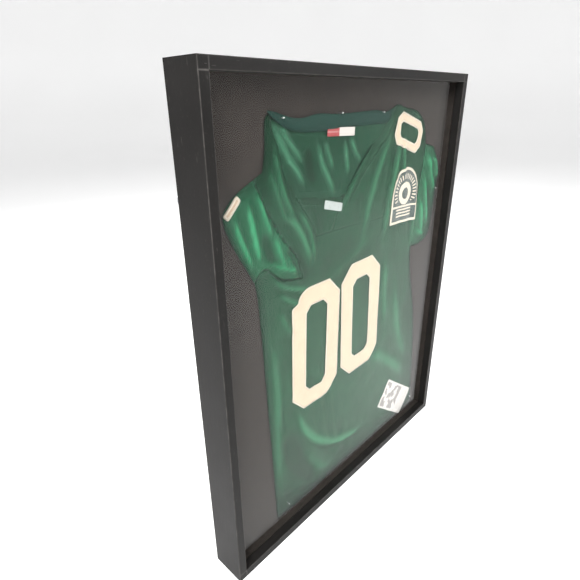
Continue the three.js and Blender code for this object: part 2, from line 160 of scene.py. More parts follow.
def smooth_faces(mesh):
    for face in mesh.polygons:
        face.use_smooth = True


def finish_mesh(name, bm, material, node):
    """A finished piece at the origin that rides on the case and stands for a CAD node."""
    bmesh.ops.remove_doubles(bm, verts=bm.verts, dist=WELD)
    mesh = mesh_from(bm, name)
    smooth_faces(mesh)
    obj = placed(name, mesh)
    mesh.materials.append(material)
    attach(obj, CASE)
    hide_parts(node)
    return obj


def thicken(obj, thickness, offset=1.0):
    solid = obj.modifiers.new("Thickness", "SOLIDIFY")
    solid.thickness = thickness
    solid.offset = offset
    solid.use_even_offset = False
    solid.use_rim = True


# ---------------------------------------------------------------- materials

STITCHES = 300.0  # a metre
STITCH_SHARE = 0.66
CORDS = 900.0  # strands of a satin-stitched border, a metre
ARRIS = 1.4 * MM  # width of the rubbed edges


def toned(color, share):
    return [share * c for c in color]


class Recipe:
    """A material under construction: one Principled shader and the nodes that feed it."""

    def __init__(self, name, color, roughness, metallic=0.0):
        self.material = bpy.data.materials.new(name)
        self.material.use_nodes = True
        self.tree = self.material.node_tree
        self.shader = self.tree.nodes["Principled BSDF"]
        self.shader.inputs["Base Color"].default_value = (*color, 1)
        self.shader.inputs["Roughness"].default_value = roughness
        self.shader.inputs["Metallic"].default_value = metallic
        self.place = self.node("ShaderNodeTexCoord").outputs["Object"]

    def node(self, kind, **settings):
        made = self.tree.nodes.new(kind)
        for key, value in settings.items():
            setattr(made, key, value)
        return made

    def link(self, a, b):
        self.tree.links.new(a, b)

    def put(self, socket, value):
        if isinstance(value, bpy.types.NodeSocket):
            self.link(value, socket)
        else:
            socket.default_value = value

    def attribute(self, name):
        return self.node("ShaderNodeAttribute", attribute_name=name).outputs["Fac"]

    def flat(self):
        """The cloth's own flat layout, in metres."""
        return self.node("ShaderNodeUVMap", uv_map="flat").outputs[0]

    def axes(self, source):
        split = self.node("ShaderNodeSeparateXYZ")
        self.link(source, split.inputs[0])
        return split.outputs

    def math(self, operation, a, b=0.0, clamp=False):
        made = self.node("ShaderNodeMath", operation=operation, use_clamp=clamp)
        for socket, value in zip(made.inputs, (a, b)):
            self.put(socket, value)
        return made.outputs[0]

    def times(self, first, *others):
        for value in others:
            first = self.math("MULTIPLY", first, value)
        return first

    def most(self, first, *others):
        for value in others:
            first = self.math("MAXIMUM", first, value)
        return first

    def below(self, value, limit):
        return self.math("LESS_THAN", value, limit)

    def above(self, value, limit):
        return self.math("GREATER_THAN", value, limit)

    def part(self, value, count):
        """How far along its own part a value is, with a number of parts in each unit."""
        return self.math("FRACT", self.times(value, count))

    def scaled(self, scale, source=None, turn=(0, 0, 0)):
        mapping = self.node("ShaderNodeMapping")
        self.link(source or self.place, mapping.inputs["Vector"])
        mapping.inputs["Scale"].default_value = scale if hasattr(scale, "__len__") else (scale,) * 3
        mapping.inputs["Rotation"].default_value = turn
        return mapping.outputs[0]

    def noise(self, scale, detail=3.0, rough=0.5, source=None, turn=(0, 0, 0)):
        made = self.node("ShaderNodeTexNoise")
        made.inputs["Scale"].default_value = 1.0
        made.inputs["Detail"].default_value = detail
        made.inputs["Roughness"].default_value = rough
        self.link(self.scaled(scale, source, turn), made.inputs["Vector"])
        return made.outputs["Fac"]

    def cells(self, scale, source=None):
        made = self.node("ShaderNodeTexVoronoi", feature="F1")
        made.inputs["Scale"].default_value = 1.0
        self.link(self.scaled(scale, source), made.inputs["Vector"])
        return made.outputs["Distance"]

    def waves(self, scale, source=None, turn=(0, 0, 0), direction="X"):
        made = self.node("ShaderNodeTexWave", bands_direction=direction)
        made.inputs["Scale"].default_value = 1.0
        self.link(self.scaled(scale, source, turn), made.inputs["Vector"])
        return made.outputs["Fac"]

    def span(self, value, low, high, out_low=0.0, out_high=1.0):
        made = self.node("ShaderNodeMapRange")
        made.clamp = True
        for socket, number in zip(made.inputs[1:5], (low, high, out_low, out_high)):
            socket.default_value = number
        self.put(made.inputs[0], value)
        return made.outputs[0]

    def blend(self, amount, a, b):
        made = self.node("ShaderNodeMix", data_type="RGBA", blend_type="MIX")
        self.put(made.inputs["Factor"], amount)
        self.put(made.inputs[6], a if isinstance(a, bpy.types.NodeSocket) else (*a, 1))
        self.put(made.inputs[7], b if isinstance(b, bpy.types.NodeSocket) else (*b, 1))
        return made.outputs[2]

    def color(self, socket):
        self.link(socket, self.shader.inputs["Base Color"])

    def rough(self, socket):
        self.link(socket, self.shader.inputs["Roughness"])

    def bump(self, *layers):
        """Stacks bumps: (height, depth in metres)."""
        normal = None
        for height, depth in layers:
            made = self.node("ShaderNodeBump")
            made.inputs["Strength"].default_value = 1.0
            made.inputs["Distance"].default_value = depth
            self.link(height, made.inputs["Height"])
            if normal:
                self.link(normal, made.inputs["Normal"])
            normal = made.outputs["Normal"]
        self.link(normal, self.shader.inputs["Normal"])

    def set(self, **values):
        for key, value in values.items():
            self.shader.inputs[key.replace("_", " ")].default_value = value


def near_plane(r, coordinate, plane, width):
    """1 on a plane of one coordinate, falling to 0 a width away."""
    off = r.math("ABSOLUTE", r.math("SUBTRACT", coordinate, plane))
    return r.math("SUBTRACT", 1.0, r.math("DIVIDE", off, width), clamp=True)


def satin_black(props, upright):
    """Satin black paint brushed along the moulding, rubbed thin on the arrises."""
    r = Recipe("satin_black_" + ("stile" if upright else "rail"), props.paint, 0.4)
    grain_scale = (900, 900, 14) if upright else (14, 900, 900)
    grain = r.noise(grain_scale, 4, 0.6)
    cloud = r.noise(9, 3, 0.55)
    speck = r.noise(240, 3, 0.6)
    x, y, z = r.axes(r.place)
    x = r.math("ABSOLUTE", x)
    outer = r.most(near_plane(r, x, CASE_W, ARRIS),
                   near_plane(r, z, 0.0, ARRIS), near_plane(r, z, CASE_H, ARRIS))
    inner = r.most(near_plane(r, x, JAMB, ARRIS),
                   near_plane(r, z, SILL, ARRIS), near_plane(r, z, LINTEL, ARRIS))
    edge = r.times(r.most(outer, inner), near_plane(r, y, FRONT, ARRIS))
    worn = r.times(edge, r.span(r.noise(60, 4, 0.6), 0.42, 0.7, 0.35, 1.0))
    tone = r.blend(r.span(cloud, 0.3, 0.7), props.paint, toned(props.paint, 1.5))
    tone = r.blend(r.span(speck, 0.6, 0.75, 0, 0.35), tone, props.dust)
    tone = r.blend(r.times(worn, props.wear), tone, props.rubbed)
    scratch = r.noise((700, 700, 60) if upright else (60, 700, 700), 2, 0.5)
    scuff = r.times(r.span(scratch, 0.69, 0.74), r.span(r.noise(5, 2, 0.5), 0.5, 0.62))
    tone = r.blend(r.times(scuff, 0.3), tone, props.rubbed)
    r.color(tone)
    r.rough(r.math("ADD", r.span(cloud, 0.25, 0.75, 0.33, 0.46),
                   r.span(grain, 0.3, 0.7, -0.03, 0.05)))
    r.bump((grain, 0.00006), (speck, 0.00004))
    r.set(Specular_IOR_Level=0.09)
    return r.material


def clear_glazing(props):
    """Clear acrylic: see-through, with a mirror that grows towards grazing angles."""
    r = Recipe("clear_acrylic", props.glass_tint, 0.03)
    through = r.node("ShaderNodeBsdfTransparent")
    through.inputs["Color"].default_value = (*props.glass_tint, 1)
    mirror = r.node("ShaderNodeBsdfGlossy")
    smear = r.noise((14, 14, 5), 4, 0.6)
    mirror.inputs["Color"].default_value = (0.95, 0.96, 0.97, 1)
    r.link(r.span(smear, 0.45, 0.75, 0.015, 0.05), mirror.inputs["Roughness"])
    facing = r.node("ShaderNodeLayerWeight").outputs["Facing"]
    schlick = r.math("ADD", props.reflect, r.times(r.math("POWER", facing, 5.0), 0.4), clamp=True)
    mix = r.node("ShaderNodeMixShader")
    r.link(schlick, mix.inputs[0])
    r.link(through.outputs[0], mix.inputs[1])
    r.link(mirror.outputs[0], mix.inputs[2])
    out = r.tree.nodes["Material Output"]
    r.link(mix.outputs[0], out.inputs["Surface"])
    r.tree.nodes.remove(r.shader)
    return r.material


def speckled_felt(props):
    """Charcoal felt: a mat of short fibres, some paler than others."""
    r = Recipe("charcoal_felt", props.felt, 0.95)
    fibre = r.noise(900, 4, 0.75)
    fleck = r.noise(700, 2, 0.9)
    clump = r.noise(60, 4, 0.6)
    pale = [2.4 * c + 0.012 for c in props.felt]
    tone = r.blend(r.span(clump, 0.3, 0.7), toned(props.felt, 0.75), toned(props.felt, 1.25))
    tone = r.blend(r.span(fleck, 0.52, 0.72), tone, pale)
    tone = r.blend(r.span(fibre, 0.35, 0.55, 0.45, 0.0), tone, (0.004, 0.004, 0.004))
    r.color(tone)
    r.bump((fleck, 0.0002), (fibre, 0.00015))
    r.set(Sheen_Weight=0.06, Sheen_Roughness=0.5, Sheen_Tint=(0.75, 0.68, 0.6, 1),
          Specular_IOR_Level=0.1)
    return r.material


def paper_core(name, color, ridged=False):
    """Board with a paper face, and flutes showing through if it is corrugated."""
    r = Recipe(name, color, 0.8)
    pulp = r.noise(420, 4, 0.7)
    cloud = r.noise(14, 4, 0.6)
    tone = r.blend(r.span(cloud, 0.3, 0.7), toned(color, 0.85), toned(color, 1.12))
    tone = r.blend(r.span(pulp, 0.45, 0.7, 0, 0.5), tone, toned(color, 0.6))
    r.color(tone)
    layers = [(pulp, 0.00008)]
    if ridged:
        layers.append((r.waves(140, direction="Z"), 0.0003))
    r.bump(*layers)
    r.rough(r.span(pulp, 0.3, 0.7, 0.72, 0.92))
    return r.material


def pressed_hardboard(color):
    """Tempered hardboard: pressed brown fibre with a slight polish."""
    r = Recipe("hardboard", color, 0.55)
    fibre = r.noise((160, 160, 700), 5, 0.7, turn=(0, 0.3, 0))
    cross = r.noise((700, 160, 160), 5, 0.7, turn=(0, 0.3, 0))
    cloud = r.noise(6, 4, 0.6)
    tone = r.blend(r.span(cloud, 0.3, 0.7), toned(color, 0.75), toned(color, 1.3))
    tone = r.blend(r.span(fibre, 0.52, 0.7, 0, 0.6), tone, toned(color, 0.45))
    tone = r.blend(r.span(cross, 0.58, 0.72, 0, 0.45), tone, toned(color, 1.9))
    r.color(tone)
    r.rough(r.span(cloud, 0.3, 0.7, 0.42, 0.62))
    r.bump((fibre, 0.0001), (cross, 0.00008))
    return r.material


def plated(name, color, roughness):
    """Plated steel with rolling marks and a little dulling."""
    r = Recipe(name, color, roughness, 1.0)
    marks = r.noise((2600, 2600, 120), 3, 0.6)
    dull = r.noise(120, 4, 0.6)
    r.color(r.blend(r.span(dull, 0.4, 0.75), color, toned(color, 0.72)))
    r.rough(r.math("ADD", r.span(dull, 0.3, 0.75, roughness - 0.06, roughness + 0.16),
                   r.span(marks, 0.3, 0.7, -0.02, 0.03)))
    r.bump((marks, 0.00003))
    return r.material


def soft_rubber():
    r = Recipe("rubber", (0.02, 0.02, 0.021), 0.7)
    grain = r.noise(1500, 3, 0.6)
    bloom = r.noise(90, 4, 0.6)
    r.color(r.blend(r.span(bloom, 0.45, 0.75, 0, 0.6), (0.016, 0.016, 0.017), (0.06, 0.058, 0.055)))
    r.rough(r.span(grain, 0.3, 0.7, 0.6, 0.85))
    r.bump((grain, 0.00008))
    return r.material


def jersey_satin(name, color, props, gloss=1.0, holes=0.0):
    """Jersey knit: fine ribs, a coloured sheen, seams that pull in, and twin rows of stitches, with
    painted shade in the fold hollows and seam creases and painted highlights on the fold ridges.
    """
    r = Recipe(name, color, 0.42)
    flat = r.flat()
    rib = r.waves(2300, flat, direction="X")
    row = r.waves(1700, flat, direction="Y")
    slub = r.noise((60, 260, 60), 3, 0.6, flat)
    cloud = r.noise(11, 4, 0.55, flat)
    seam = r.attribute("seam")
    run = r.attribute("run")
    rim = r.attribute("rim")
    tone = r.blend(r.span(cloud, 0.3, 0.7), toned(color, 0.82), toned(color, 1.18))
    tone = r.blend(r.span(slub, 0.45, 0.75, 0, 0.12), tone, toned(color, 1.5))
    tone = r.blend(r.span(rib, 0.2, 0.6, 0.28, 0.0), tone, toned(color, 0.5))
    layers = [(rib, 0.00010), (row, 0.00006)]
    if holes:
        dots = r.cells(330, flat)
        hole = r.span(dots, 0.14, 0.26, 1.0, 0.0)
        tone = r.blend(r.times(hole, holes), tone, toned(color, 0.3))
        layers.append((r.math("SUBTRACT", 1.0, hole), 0.0001))
    # Painted shade and painted highlight: the stored fold height (swell) darkens the cloth where it
    # lies low between folds and lightens it towards the ridge colour on the fold tops.
    swell = r.attribute("swell")
    tone = r.blend(r.span(swell, 0.04, 0.34, 0.75, 0.0), tone, toned(color, 0.16))
    ridge = [min(0.8, 3.4 * c + 0.02) for c in color]
    tone = r.blend(r.span(swell, 0.46, 1.15, 0.0, 0.85), tone, ridge)
    # Painted shade: the cloth is darkened along each seam's crease; the same crease also drives a
    # real bump and a rougher finish.
    crease = r.span(seam, 0.0, 2.4 * MM, 1.0, 0.0)
    tone = r.blend(r.times(crease, 0.55), tone, toned(color, 0.3))
    dash = r.below(r.part(run, STITCHES), STITCH_SHARE)
    rows = r.most(near_plane(r, seam, 3.4 * MM, 0.65 * MM), near_plane(r, rim, 16 * MM, 0.6 * MM))
    stitch = r.times(rows, dash)
    tone = r.blend(r.times(stitch, 0.8), tone, [min(1.0, 2.2 * c + 0.02) for c in color])
    r.color(tone)
    layers += [(r.math("SUBTRACT", 1.0, crease), 0.0008), (stitch, 0.0004)]
    r.bump(*layers)
    spread = props.cloth_roughness
    r.rough(r.math("ADD", r.span(slub, 0.3, 0.7, spread - 0.015, spread + 0.02),
                   r.times(crease, 0.15)))
    r.set(Specular_IOR_Level=0.6 * gloss, Specular_Tint=(*props.sheen, 1), Metallic=0.42 * gloss)
    return r.material


def collar_knit(props):
    """Ribbed collar knit."""
    color = props.collar_green
    r = Recipe("collar_cloth", color, 0.7)
    flat = r.flat()
    rib = r.waves(420, flat, direction="X")
    fluff = r.noise(1200, 3, 0.7, flat)
    tone = r.blend(r.span(rib, 0.1, 0.7, 0.55, 0.0), color, toned(color, 0.4))
    r.color(r.blend(r.span(fluff, 0.5, 0.75, 0, 0.4), tone, toned(color, 1.8)))
    r.bump((rib, 0.0005), (fluff, 0.0001))
    r.rough(r.span(fluff, 0.3, 0.7, 0.55, 0.78))
    r.set(Sheen_Weight=0.08, Sheen_Roughness=0.4, Sheen_Tint=(*props.sheen, 1),
          Specular_IOR_Level=0.15)
    return r.material


def numeral_twill(props):
    """Tackle twill: diagonal ribs, a satin-stitched border with a painted shade line just inside
    it, and a soft sheen.
    """
    color = props.cream
    r = Recipe("numeral_twill", color, 0.6)
    flat = r.flat()
    rib = r.waves(900, flat, turn=(0, 0, 0.9))
    grime = r.noise(36, 4, 0.6, flat)
    thread = r.noise((500, 60, 500), 3, 0.6, flat)
    rim = r.attribute("rim")
    run = r.attribute("run")
    tone = r.blend(r.span(grime, 0.35, 0.75), color, toned(color, 0.86))
    tone = r.blend(r.span(thread, 0.45, 0.7, 0, 0.25), tone, [1.08 * min(c, 0.9) for c in color])
    tone = r.blend(r.span(rib, 0.1, 0.5, 0.2, 0.0), tone, toned(color, 0.7))
    border = r.span(rim, props.border_width * 0.92, props.border_width, 1.0, 0.0)
    zig = r.node("ShaderNodeMath", operation="PINGPONG")
    r.link(r.times(run, CORDS), zig.inputs[0])
    zig.inputs[1].default_value = 0.5
    cord = r.times(zig.outputs[0], 2.0)
    rounded = r.math("SINE", r.times(r.span(rim, 0.0, props.border_width), math.pi))
    strand = r.blend(r.span(cord, 0.0, 0.6), toned(props.thread, 0.66), props.thread)
    tone = r.blend(border, tone, strand)
    # Painted shade: a dark line just inside the stitched border, where the raised border meets the
    # twill.
    groove_shade = r.times(near_plane(r, rim, props.border_width * 1.15, 0.5 * MM), 0.5)
    tone = r.blend(groove_shade, tone, toned(color, 0.35))
    r.color(tone)
    r.bump((rib, 0.00008), (r.times(border, cord), 0.0003),
           (r.times(border, rounded), 0.0007))
    r.rough(r.span(thread, 0.3, 0.7, 0.5, 0.68))
    r.set(Sheen_Weight=0.3, Sheen_Roughness=0.4)
    return r.material


# ---------------------------------------------------------------- cloth

NECK_LEFT = [(-0.640, 0.944), (-0.610, 0.912), (-0.555, 0.870), (-0.495, 0.818), (-0.482, 0.796)]
NECK_FOOT = [(-0.482, 0.796), (-0.290, 0.787), (-0.102, 0.776)]
NECK_RIGHT = [(-0.102, 0.776), (0.000, 0.822), (0.104, 0.862), (0.205, 0.897), (0.300, 0.936)]
SHOULDER_RIGHT = [(0.300, 0.936), (0.370, 0.951), (0.452, 0.945), (0.600, 0.936), (0.706, 0.907),
                  (0.745, 0.856)]
SLEEVE_TOP = [(0.745, 0.856), (0.800, 0.852), (0.874, 0.842), (0.930, 0.806), (0.962, 0.755)]
SLEEVE_CUFF = [(0.962, 0.755), (0.950, 0.690), (0.936, 0.640), (0.910, 0.602)]
SLEEVE_UNDER = [(0.910, 0.602), (0.840, 0.590), (0.745, 0.585), (0.672, 0.590)]
SIDE_RIGHT = [(0.672, 0.590), (0.700, 0.520), (0.770, 0.430), (0.830, 0.340), (0.880, 0.200),
              (0.918, 0.012)]
HEM = [(0.918, 0.012), (0.500, 0.009), (0.000, 0.011), (-0.400, 0.008), (-0.664, 0.012)]
SIDE_LEFT = [(-0.664, 0.012), (-0.676, 0.060), (-0.685, 0.130), (-0.703, 0.280), (-0.720, 0.420),
             (-0.736, 0.540), (-0.748, 0.610), (-0.764, 0.650)]
CUFF_LEFT = [(-0.764, 0.650), (-0.822, 0.690), (-0.872, 0.726), (-0.914, 0.764)]
SHOULDER_LEFT = [(-0.914, 0.764), (-0.916, 0.790), (-0.850, 0.818), (-0.745, 0.838),
                 (-0.692, 0.848)]
COLLAR_DROP = [(-0.692, 0.848), (-0.676, 0.885), (-0.668, 0.930), (-0.640, 0.944)]

ARMHOLE_LEFT = [(-0.745, 0.838), (-0.670, 0.775), (-0.575, 0.715), (-0.492, 0.680), (-0.436, 0.625)]
SLEEVE_HEM_LEFT = [(-0.764, 0.650), (-0.700, 0.672), (-0.600, 0.640), (-0.500, 0.628),
                   (-0.436, 0.625)]
ARMHOLE_RIGHT = [(0.745, 0.856), (0.716, 0.780), (0.690, 0.700), (0.672, 0.590)]
YOKE = [(-0.335, 0.705), (-0.200, 0.704), (-0.020, 0.703), (0.110, 0.702), (0.300, 0.700)]
INSERT_LEFT = [(-0.482, 0.796), (-0.420, 0.760), (-0.360, 0.730), (-0.335, 0.705)]
INSERT_RIGHT = [(-0.102, 0.776), (-0.160, 0.742), (-0.205, 0.703)]
NECK_FACING = [(-0.062, 0.756), (0.050, 0.806), (0.150, 0.844), (0.260, 0.878), (0.352, 0.918)]
SHOULDER_SEAM = [(0.452, 0.945), (0.400, 0.880), (0.352, 0.800), (0.330, 0.700)]

# Outlines and seams by their place on the display area, as spot() takes them.
JERSEY_SIDES = [
    NECK_LEFT, NECK_FOOT, NECK_RIGHT, SHOULDER_RIGHT, SLEEVE_TOP, SLEEVE_CUFF, SLEEVE_UNDER,
    SIDE_RIGHT, HEM, SIDE_LEFT, CUFF_LEFT, SHOULDER_LEFT, COLLAR_DROP,
]
ARMHOLES = [ARMHOLE_LEFT, SLEEVE_HEM_LEFT, ARMHOLE_RIGHT]
OTHER_SEAMS = [YOKE, INSERT_LEFT, INSERT_RIGHT, NECK_FACING, SHOULDER_SEAM, NECK_FOOT]
LEFT_SLEEVE_REGION = [
    ARMHOLE_LEFT, SLEEVE_HEM_LEFT[::-1], [(-0.764, 0.650), (-0.95, 0.70)],
    [(-0.95, 0.70), (-0.95, 0.84)], [(-0.95, 0.84), (-0.745, 0.84)],
]
RIGHT_SLEEVE_REGION = [
    ARMHOLE_RIGHT, [(0.672, 0.590), (0.672, 0.56)], [(0.672, 0.56), (1.0, 0.56)],
    [(1.0, 0.56), (1.0, 0.89)], [(1.0, 0.89), (0.745, 0.89)],
]
BACK_SIDES = [
    [(-0.655, 0.935), (-0.600, 0.880), (-0.540, 0.820), (-0.490, 0.780)],
    [(-0.490, 0.780), (-0.290, 0.772), (-0.080, 0.762)],
    [(-0.080, 0.762), (0.040, 0.820), (0.150, 0.860), (0.290, 0.915)],
    [(0.290, 0.915), (0.100, 0.922), (-0.150, 0.918), (-0.400, 0.922), (-0.655, 0.935)],
]
COLLAR_TOP = [(-0.664, 0.946), (-0.620, 0.944), (-0.520, 0.934), (-0.440, 0.932), (-0.330, 0.938),
              (-0.180, 0.936), (-0.020, 0.938), (0.150, 0.940), (0.240, 0.936), (0.316, 0.944)]
COLLAR_FOOT = [(0.316, 0.944), (0.270, 0.915), (0.150, 0.912), (-0.020, 0.911), (-0.180, 0.908),
               (-0.330, 0.906), (-0.450, 0.908), (-0.530, 0.914), (-0.600, 0.926), (-0.664, 0.946)]
# Where pins and tacks hold the jersey.
FIXINGS = [(-0.60, 0.92), (0.40, 0.93), (0.90, 0.735), (-0.59, 0.045), (0.86, 0.05),
           (-0.88, 0.78), (0.05, 0.80), (-0.40, 0.78)]

CLOTH_T = 0.55 * MM
EDGE_ROLL = 9 * MM  # how far in from its edge laid cloth is still rising
CRUMPLE_EDGE = 20 * MM  # a margin where the crumples fade out
SEAM_PULL, SEAM_REACH = 0.9 * MM, 3 * MM  # a seam's depth and half width

# All folds are raised and narrowed by these shares of what the tables say.
FOLD_RAISE = 1.7
FOLD_NARROW = 0.75
# Folds: line, height in mm, width in mm, how much steeper the right-hand side of the line is.
FOLDS = [
    ([(-0.520, 0.330), (-0.440, 0.235), (-0.290, 0.160), (-0.080, 0.110), (0.280, 0.080)],
     5.0, 15, 1.9),
    ([(-0.600, 0.270), (-0.520, 0.170), (-0.400, 0.090), (-0.300, 0.030)], -2.5, 26, 1.0),
    ([(-0.470, 0.180), (-0.280, 0.075), (-0.100, 0.040)], 2.2, 20, 1.3),
    ([(-0.690, 0.560), (-0.655, 0.400), (-0.660, 0.200), (-0.630, 0.060)], 2.6, 18, 1.2),
    ([(0.140, 0.330), (0.330, 0.300), (0.560, 0.230), (0.760, 0.150)], 3.4, 24, 1.5),
    ([(0.480, 0.560), (0.520, 0.420), (0.620, 0.300), (0.800, 0.200)], 3.0, 22, 1.4),
    ([(0.340, 0.620), (0.360, 0.480), (0.420, 0.360)], 2.6, 20, 1.2),
    ([(-0.620, 0.900), (-0.600, 0.840), (-0.540, 0.780), (-0.470, 0.750)], 3.4, 8, 1.6),
    ([(-0.660, 0.860), (-0.610, 0.800), (-0.560, 0.745)], 2.6, 7, 1.8),
    ([(-0.600, 0.765), (-0.510, 0.745), (-0.430, 0.700), (-0.375, 0.640)], 4.6, 10, 1.9),
    ([(-0.500, 0.775), (-0.430, 0.745), (-0.375, 0.705), (-0.345, 0.640)], 3.4, 7, 1.7),
    ([(-0.560, 0.700), (-0.470, 0.655), (-0.400, 0.610)], -3.0, 12, 1.0),
    ([(-0.690, 0.655), (-0.580, 0.620), (-0.450, 0.600), (-0.360, 0.590)], 3.6, 8, 2.2),
    ([(-0.640, 0.615), (-0.540, 0.585), (-0.440, 0.560)], 3.0, 9, 1.5),
    ([(-0.620, 0.580), (-0.580, 0.540), (-0.520, 0.500)], 2.2, 12, 1.3),
    ([(-0.880, 0.790), (-0.850, 0.745), (-0.800, 0.700), (-0.780, 0.672)], 4.0, 8, 1.6),
    ([(-0.800, 0.812), (-0.775, 0.760), (-0.740, 0.700), (-0.720, 0.680)], 4.6, 8, 1.8),
    ([(-0.745, 0.826), (-0.690, 0.765), (-0.640, 0.720)], 3.2, 6, 1.5),
    ([(-0.700, 0.745), (-0.660, 0.690), (-0.610, 0.660)], -2.4, 9, 1.0),
    ([(-0.640, 0.735), (-0.600, 0.690), (-0.555, 0.655)], 3.2, 7, 1.7),
    ([(-0.700, 0.690), (-0.620, 0.668), (-0.520, 0.650), (-0.470, 0.640)], 3.4, 6, 1.8),
    ([(-0.560, 0.690), (-0.520, 0.660), (-0.480, 0.640)], 2.6, 6, 1.4),
    ([(0.180, 0.900), (0.060, 0.846), (-0.050, 0.790), (-0.150, 0.730)], 2.6, 8, 1.6),
    ([(0.360, 0.905), (0.250, 0.850), (0.140, 0.760), (0.060, 0.640)], 3.0, 14, 1.5),
    ([(0.430, 0.920), (0.400, 0.830), (0.340, 0.740), (0.290, 0.620)], 3.4, 12, 1.6),
    ([(0.460, 0.890), (0.480, 0.820), (0.500, 0.770)], 3.0, 9, 1.5),
    ([(0.600, 0.800), (0.640, 0.740), (0.650, 0.660), (0.640, 0.560)], 3.2, 11, 1.4),
    ([(0.780, 0.840), (0.840, 0.780), (0.900, 0.735), (0.940, 0.720)], 3.6, 9, 1.6),
    ([(0.740, 0.790), (0.780, 0.740), (0.820, 0.680), (0.860, 0.620)], 4.6, 8, 2.0),
    ([(0.730, 0.720), (0.760, 0.670), (0.780, 0.610)], 4.0, 8, 1.7),
    ([(0.800, 0.740), (0.870, 0.690), (0.920, 0.640)], -2.6, 10, 1.0),
    ([(0.860, 0.830), (0.910, 0.790), (0.940, 0.750)], 3.0, 8, 1.4),
    ([(0.690, 0.640), (0.760, 0.620), (0.850, 0.610)], 3.4, 8, 1.5),
    ([(-0.300, 0.600), (-0.150, 0.610), (0.050, 0.640), (0.200, 0.680)], 1.8, 18, 1.3),
]
BACK_FOLDS = [
    ([(-0.640, 0.935), (-0.560, 0.880), (-0.470, 0.835), (-0.400, 0.800)], 2.2, 8, 1.8),
    ([(-0.600, 0.930), (-0.500, 0.880), (-0.420, 0.850)], 1.8, 6, 1.7),
    ([(-0.640, 0.900), (-0.600, 0.860), (-0.540, 0.810)], 1.6, 6, 1.5),
    ([(-0.330, 0.895), (-0.300, 0.850), (-0.220, 0.800), (-0.190, 0.770)], 2.0, 7, 1.6),
    ([(-0.280, 0.890), (-0.230, 0.850), (-0.200, 0.830)], 1.6, 6, 1.4),
    ([(-0.120, 0.888), (-0.100, 0.850), (-0.080, 0.810)], 1.8, 7, 1.5),
    ([(-0.080, 0.895), (-0.020, 0.860), (0.040, 0.835)], 1.8, 6, 1.6),
    ([(-0.400, 0.890), (-0.380, 0.840), (-0.330, 0.800)], -1.2, 10, 1.0),
]


def fold_height(folds, p):
    """Height of the folds at a place, in metres towards the glazing."""
    total = 0.0
    for line, length, high, wide, skew in folds:
        distance, run, side = nearest_on(line, p)
        if distance > 3.2 * wide:
            continue
        reach = wide / skew if side < 0 else wide
        ends = ease(run / (0.3 * length)) * ease((length - run) / (0.3 * length))
        total += high * ends * math.exp(-(distance / reach) ** 2)
    return total


def prepared(folds):
    lines = [smooth_line(points) for points, *_ in folds]
    return [(line, line_length(line), FOLD_RAISE * high * MM, FOLD_NARROW * wide * MM, skew)
            for line, (_, high, wide, skew) in zip(lines, folds)]


def cloth_grid(outline, pitch, cuts=()):
    """A grid of squares trimmed to an outline, its edge and its inner cuts drawn onto the lines."""
    low = Vector((min(p.x for p in outline), min(p.y for p in outline)))
    high = Vector((max(p.x for p in outline), max(p.y for p in outline)))
    across = max(2, round((high.x - low.x) / pitch))
    up = max(2, round((high.y - low.y) / pitch))
    bm = bmesh.new()
    bmesh.ops.create_grid(bm, x_segments=across, y_segments=up, size=0.5)
    bmesh.ops.scale(bm, vec=(high.x - low.x, high.y - low.y, 1), verts=bm.verts)
    bmesh.ops.translate(bm, vec=((high.x + low.x) / 2, (high.y + low.y) / 2, 0), verts=bm.verts)
    away = [f for f in bm.faces if not inside(outline, f.calc_center_median().xy)]
    bmesh.ops.delete(bm, geom=away, context="FACES")
    ring = outline + outline[:1]
    for v in bm.verts:
        if v.is_boundary:
            v.co.xy = nearest_place(ring, v.co.xy)
    for line in cuts:
        for v in bm.verts:
            if not v.is_boundary and nearest_on(line, v.co.xy)[0] < 0.5 * pitch:
                v.co.xy = nearest_place(line, v.co.xy)
    bmesh.ops.dissolve_degenerate(bm, edges=bm.edges, dist=0.12 * pitch)
    bmesh.ops.recalc_face_normals(bm, faces=bm.faces)
    return bm


def nearest_place(line, p):
    best, found = 1e9, p
    for a, b in zip(line, line[1:]):
        place, share = intersect_point_line(p, a, b)
        place = a if share < 0 else b if share > 1 else place
        off = (place.xy - p).length
        if off < best:
            best, found = off, place.xy.copy()
    return found


def mark_cloth(bm, outline, seams):
    """Flat UVs in metres, and each point's distance to the edge and to the nearest seam."""
    flat = bm.loops.layers.uv.new("flat")
    layers = [bm.verts.layers.float.new(name) for name in ("rim", "seam", "run", "swell")]
    ring = outline + outline[:1]
    for v in bm.verts:
        p = v.co.xy
        rim, rim_run, _ = nearest_on(ring, p)
        seam, run = 1.0, rim_run
        for line in seams:
            distance, along, _ = nearest_on(line, p)
            if distance < seam:
                seam = distance
                run = along if distance < 8 * MM else rim_run
        for layer, value in zip(layers, (rim, seam, run, 0.5)):
            v[layer] = value
    for f in bm.faces:
        for loop in f.loops:
            loop[flat].uv = loop.vert.co.xy


def stand_up(bm, height):
    """Turns a sheet on the XY plane up to the XZ plane, at y = height(vertex, place)."""
    for v in bm.verts:
        p = v.co.xy.copy()
        v.co = Vector((p.x, height(v, p), p.y))
    bm.normal_update()
    if sum(f.normal.y * f.calc_area() for f in bm.faces) > 0:
        bmesh.ops.reverse_faces(bm, faces=bm.faces)


def crumple(p, scale, depth, seed):
    """Uneven loft of laid cloth: fractal noise with a bias to short ridges."""
    at = Vector((p.x * scale, p.y * scale * 0.8, seed))
    ridge = 1 - abs(noise.fractal(at, 0.9, 2.1, 3))
    return depth * (ridge - 0.7)


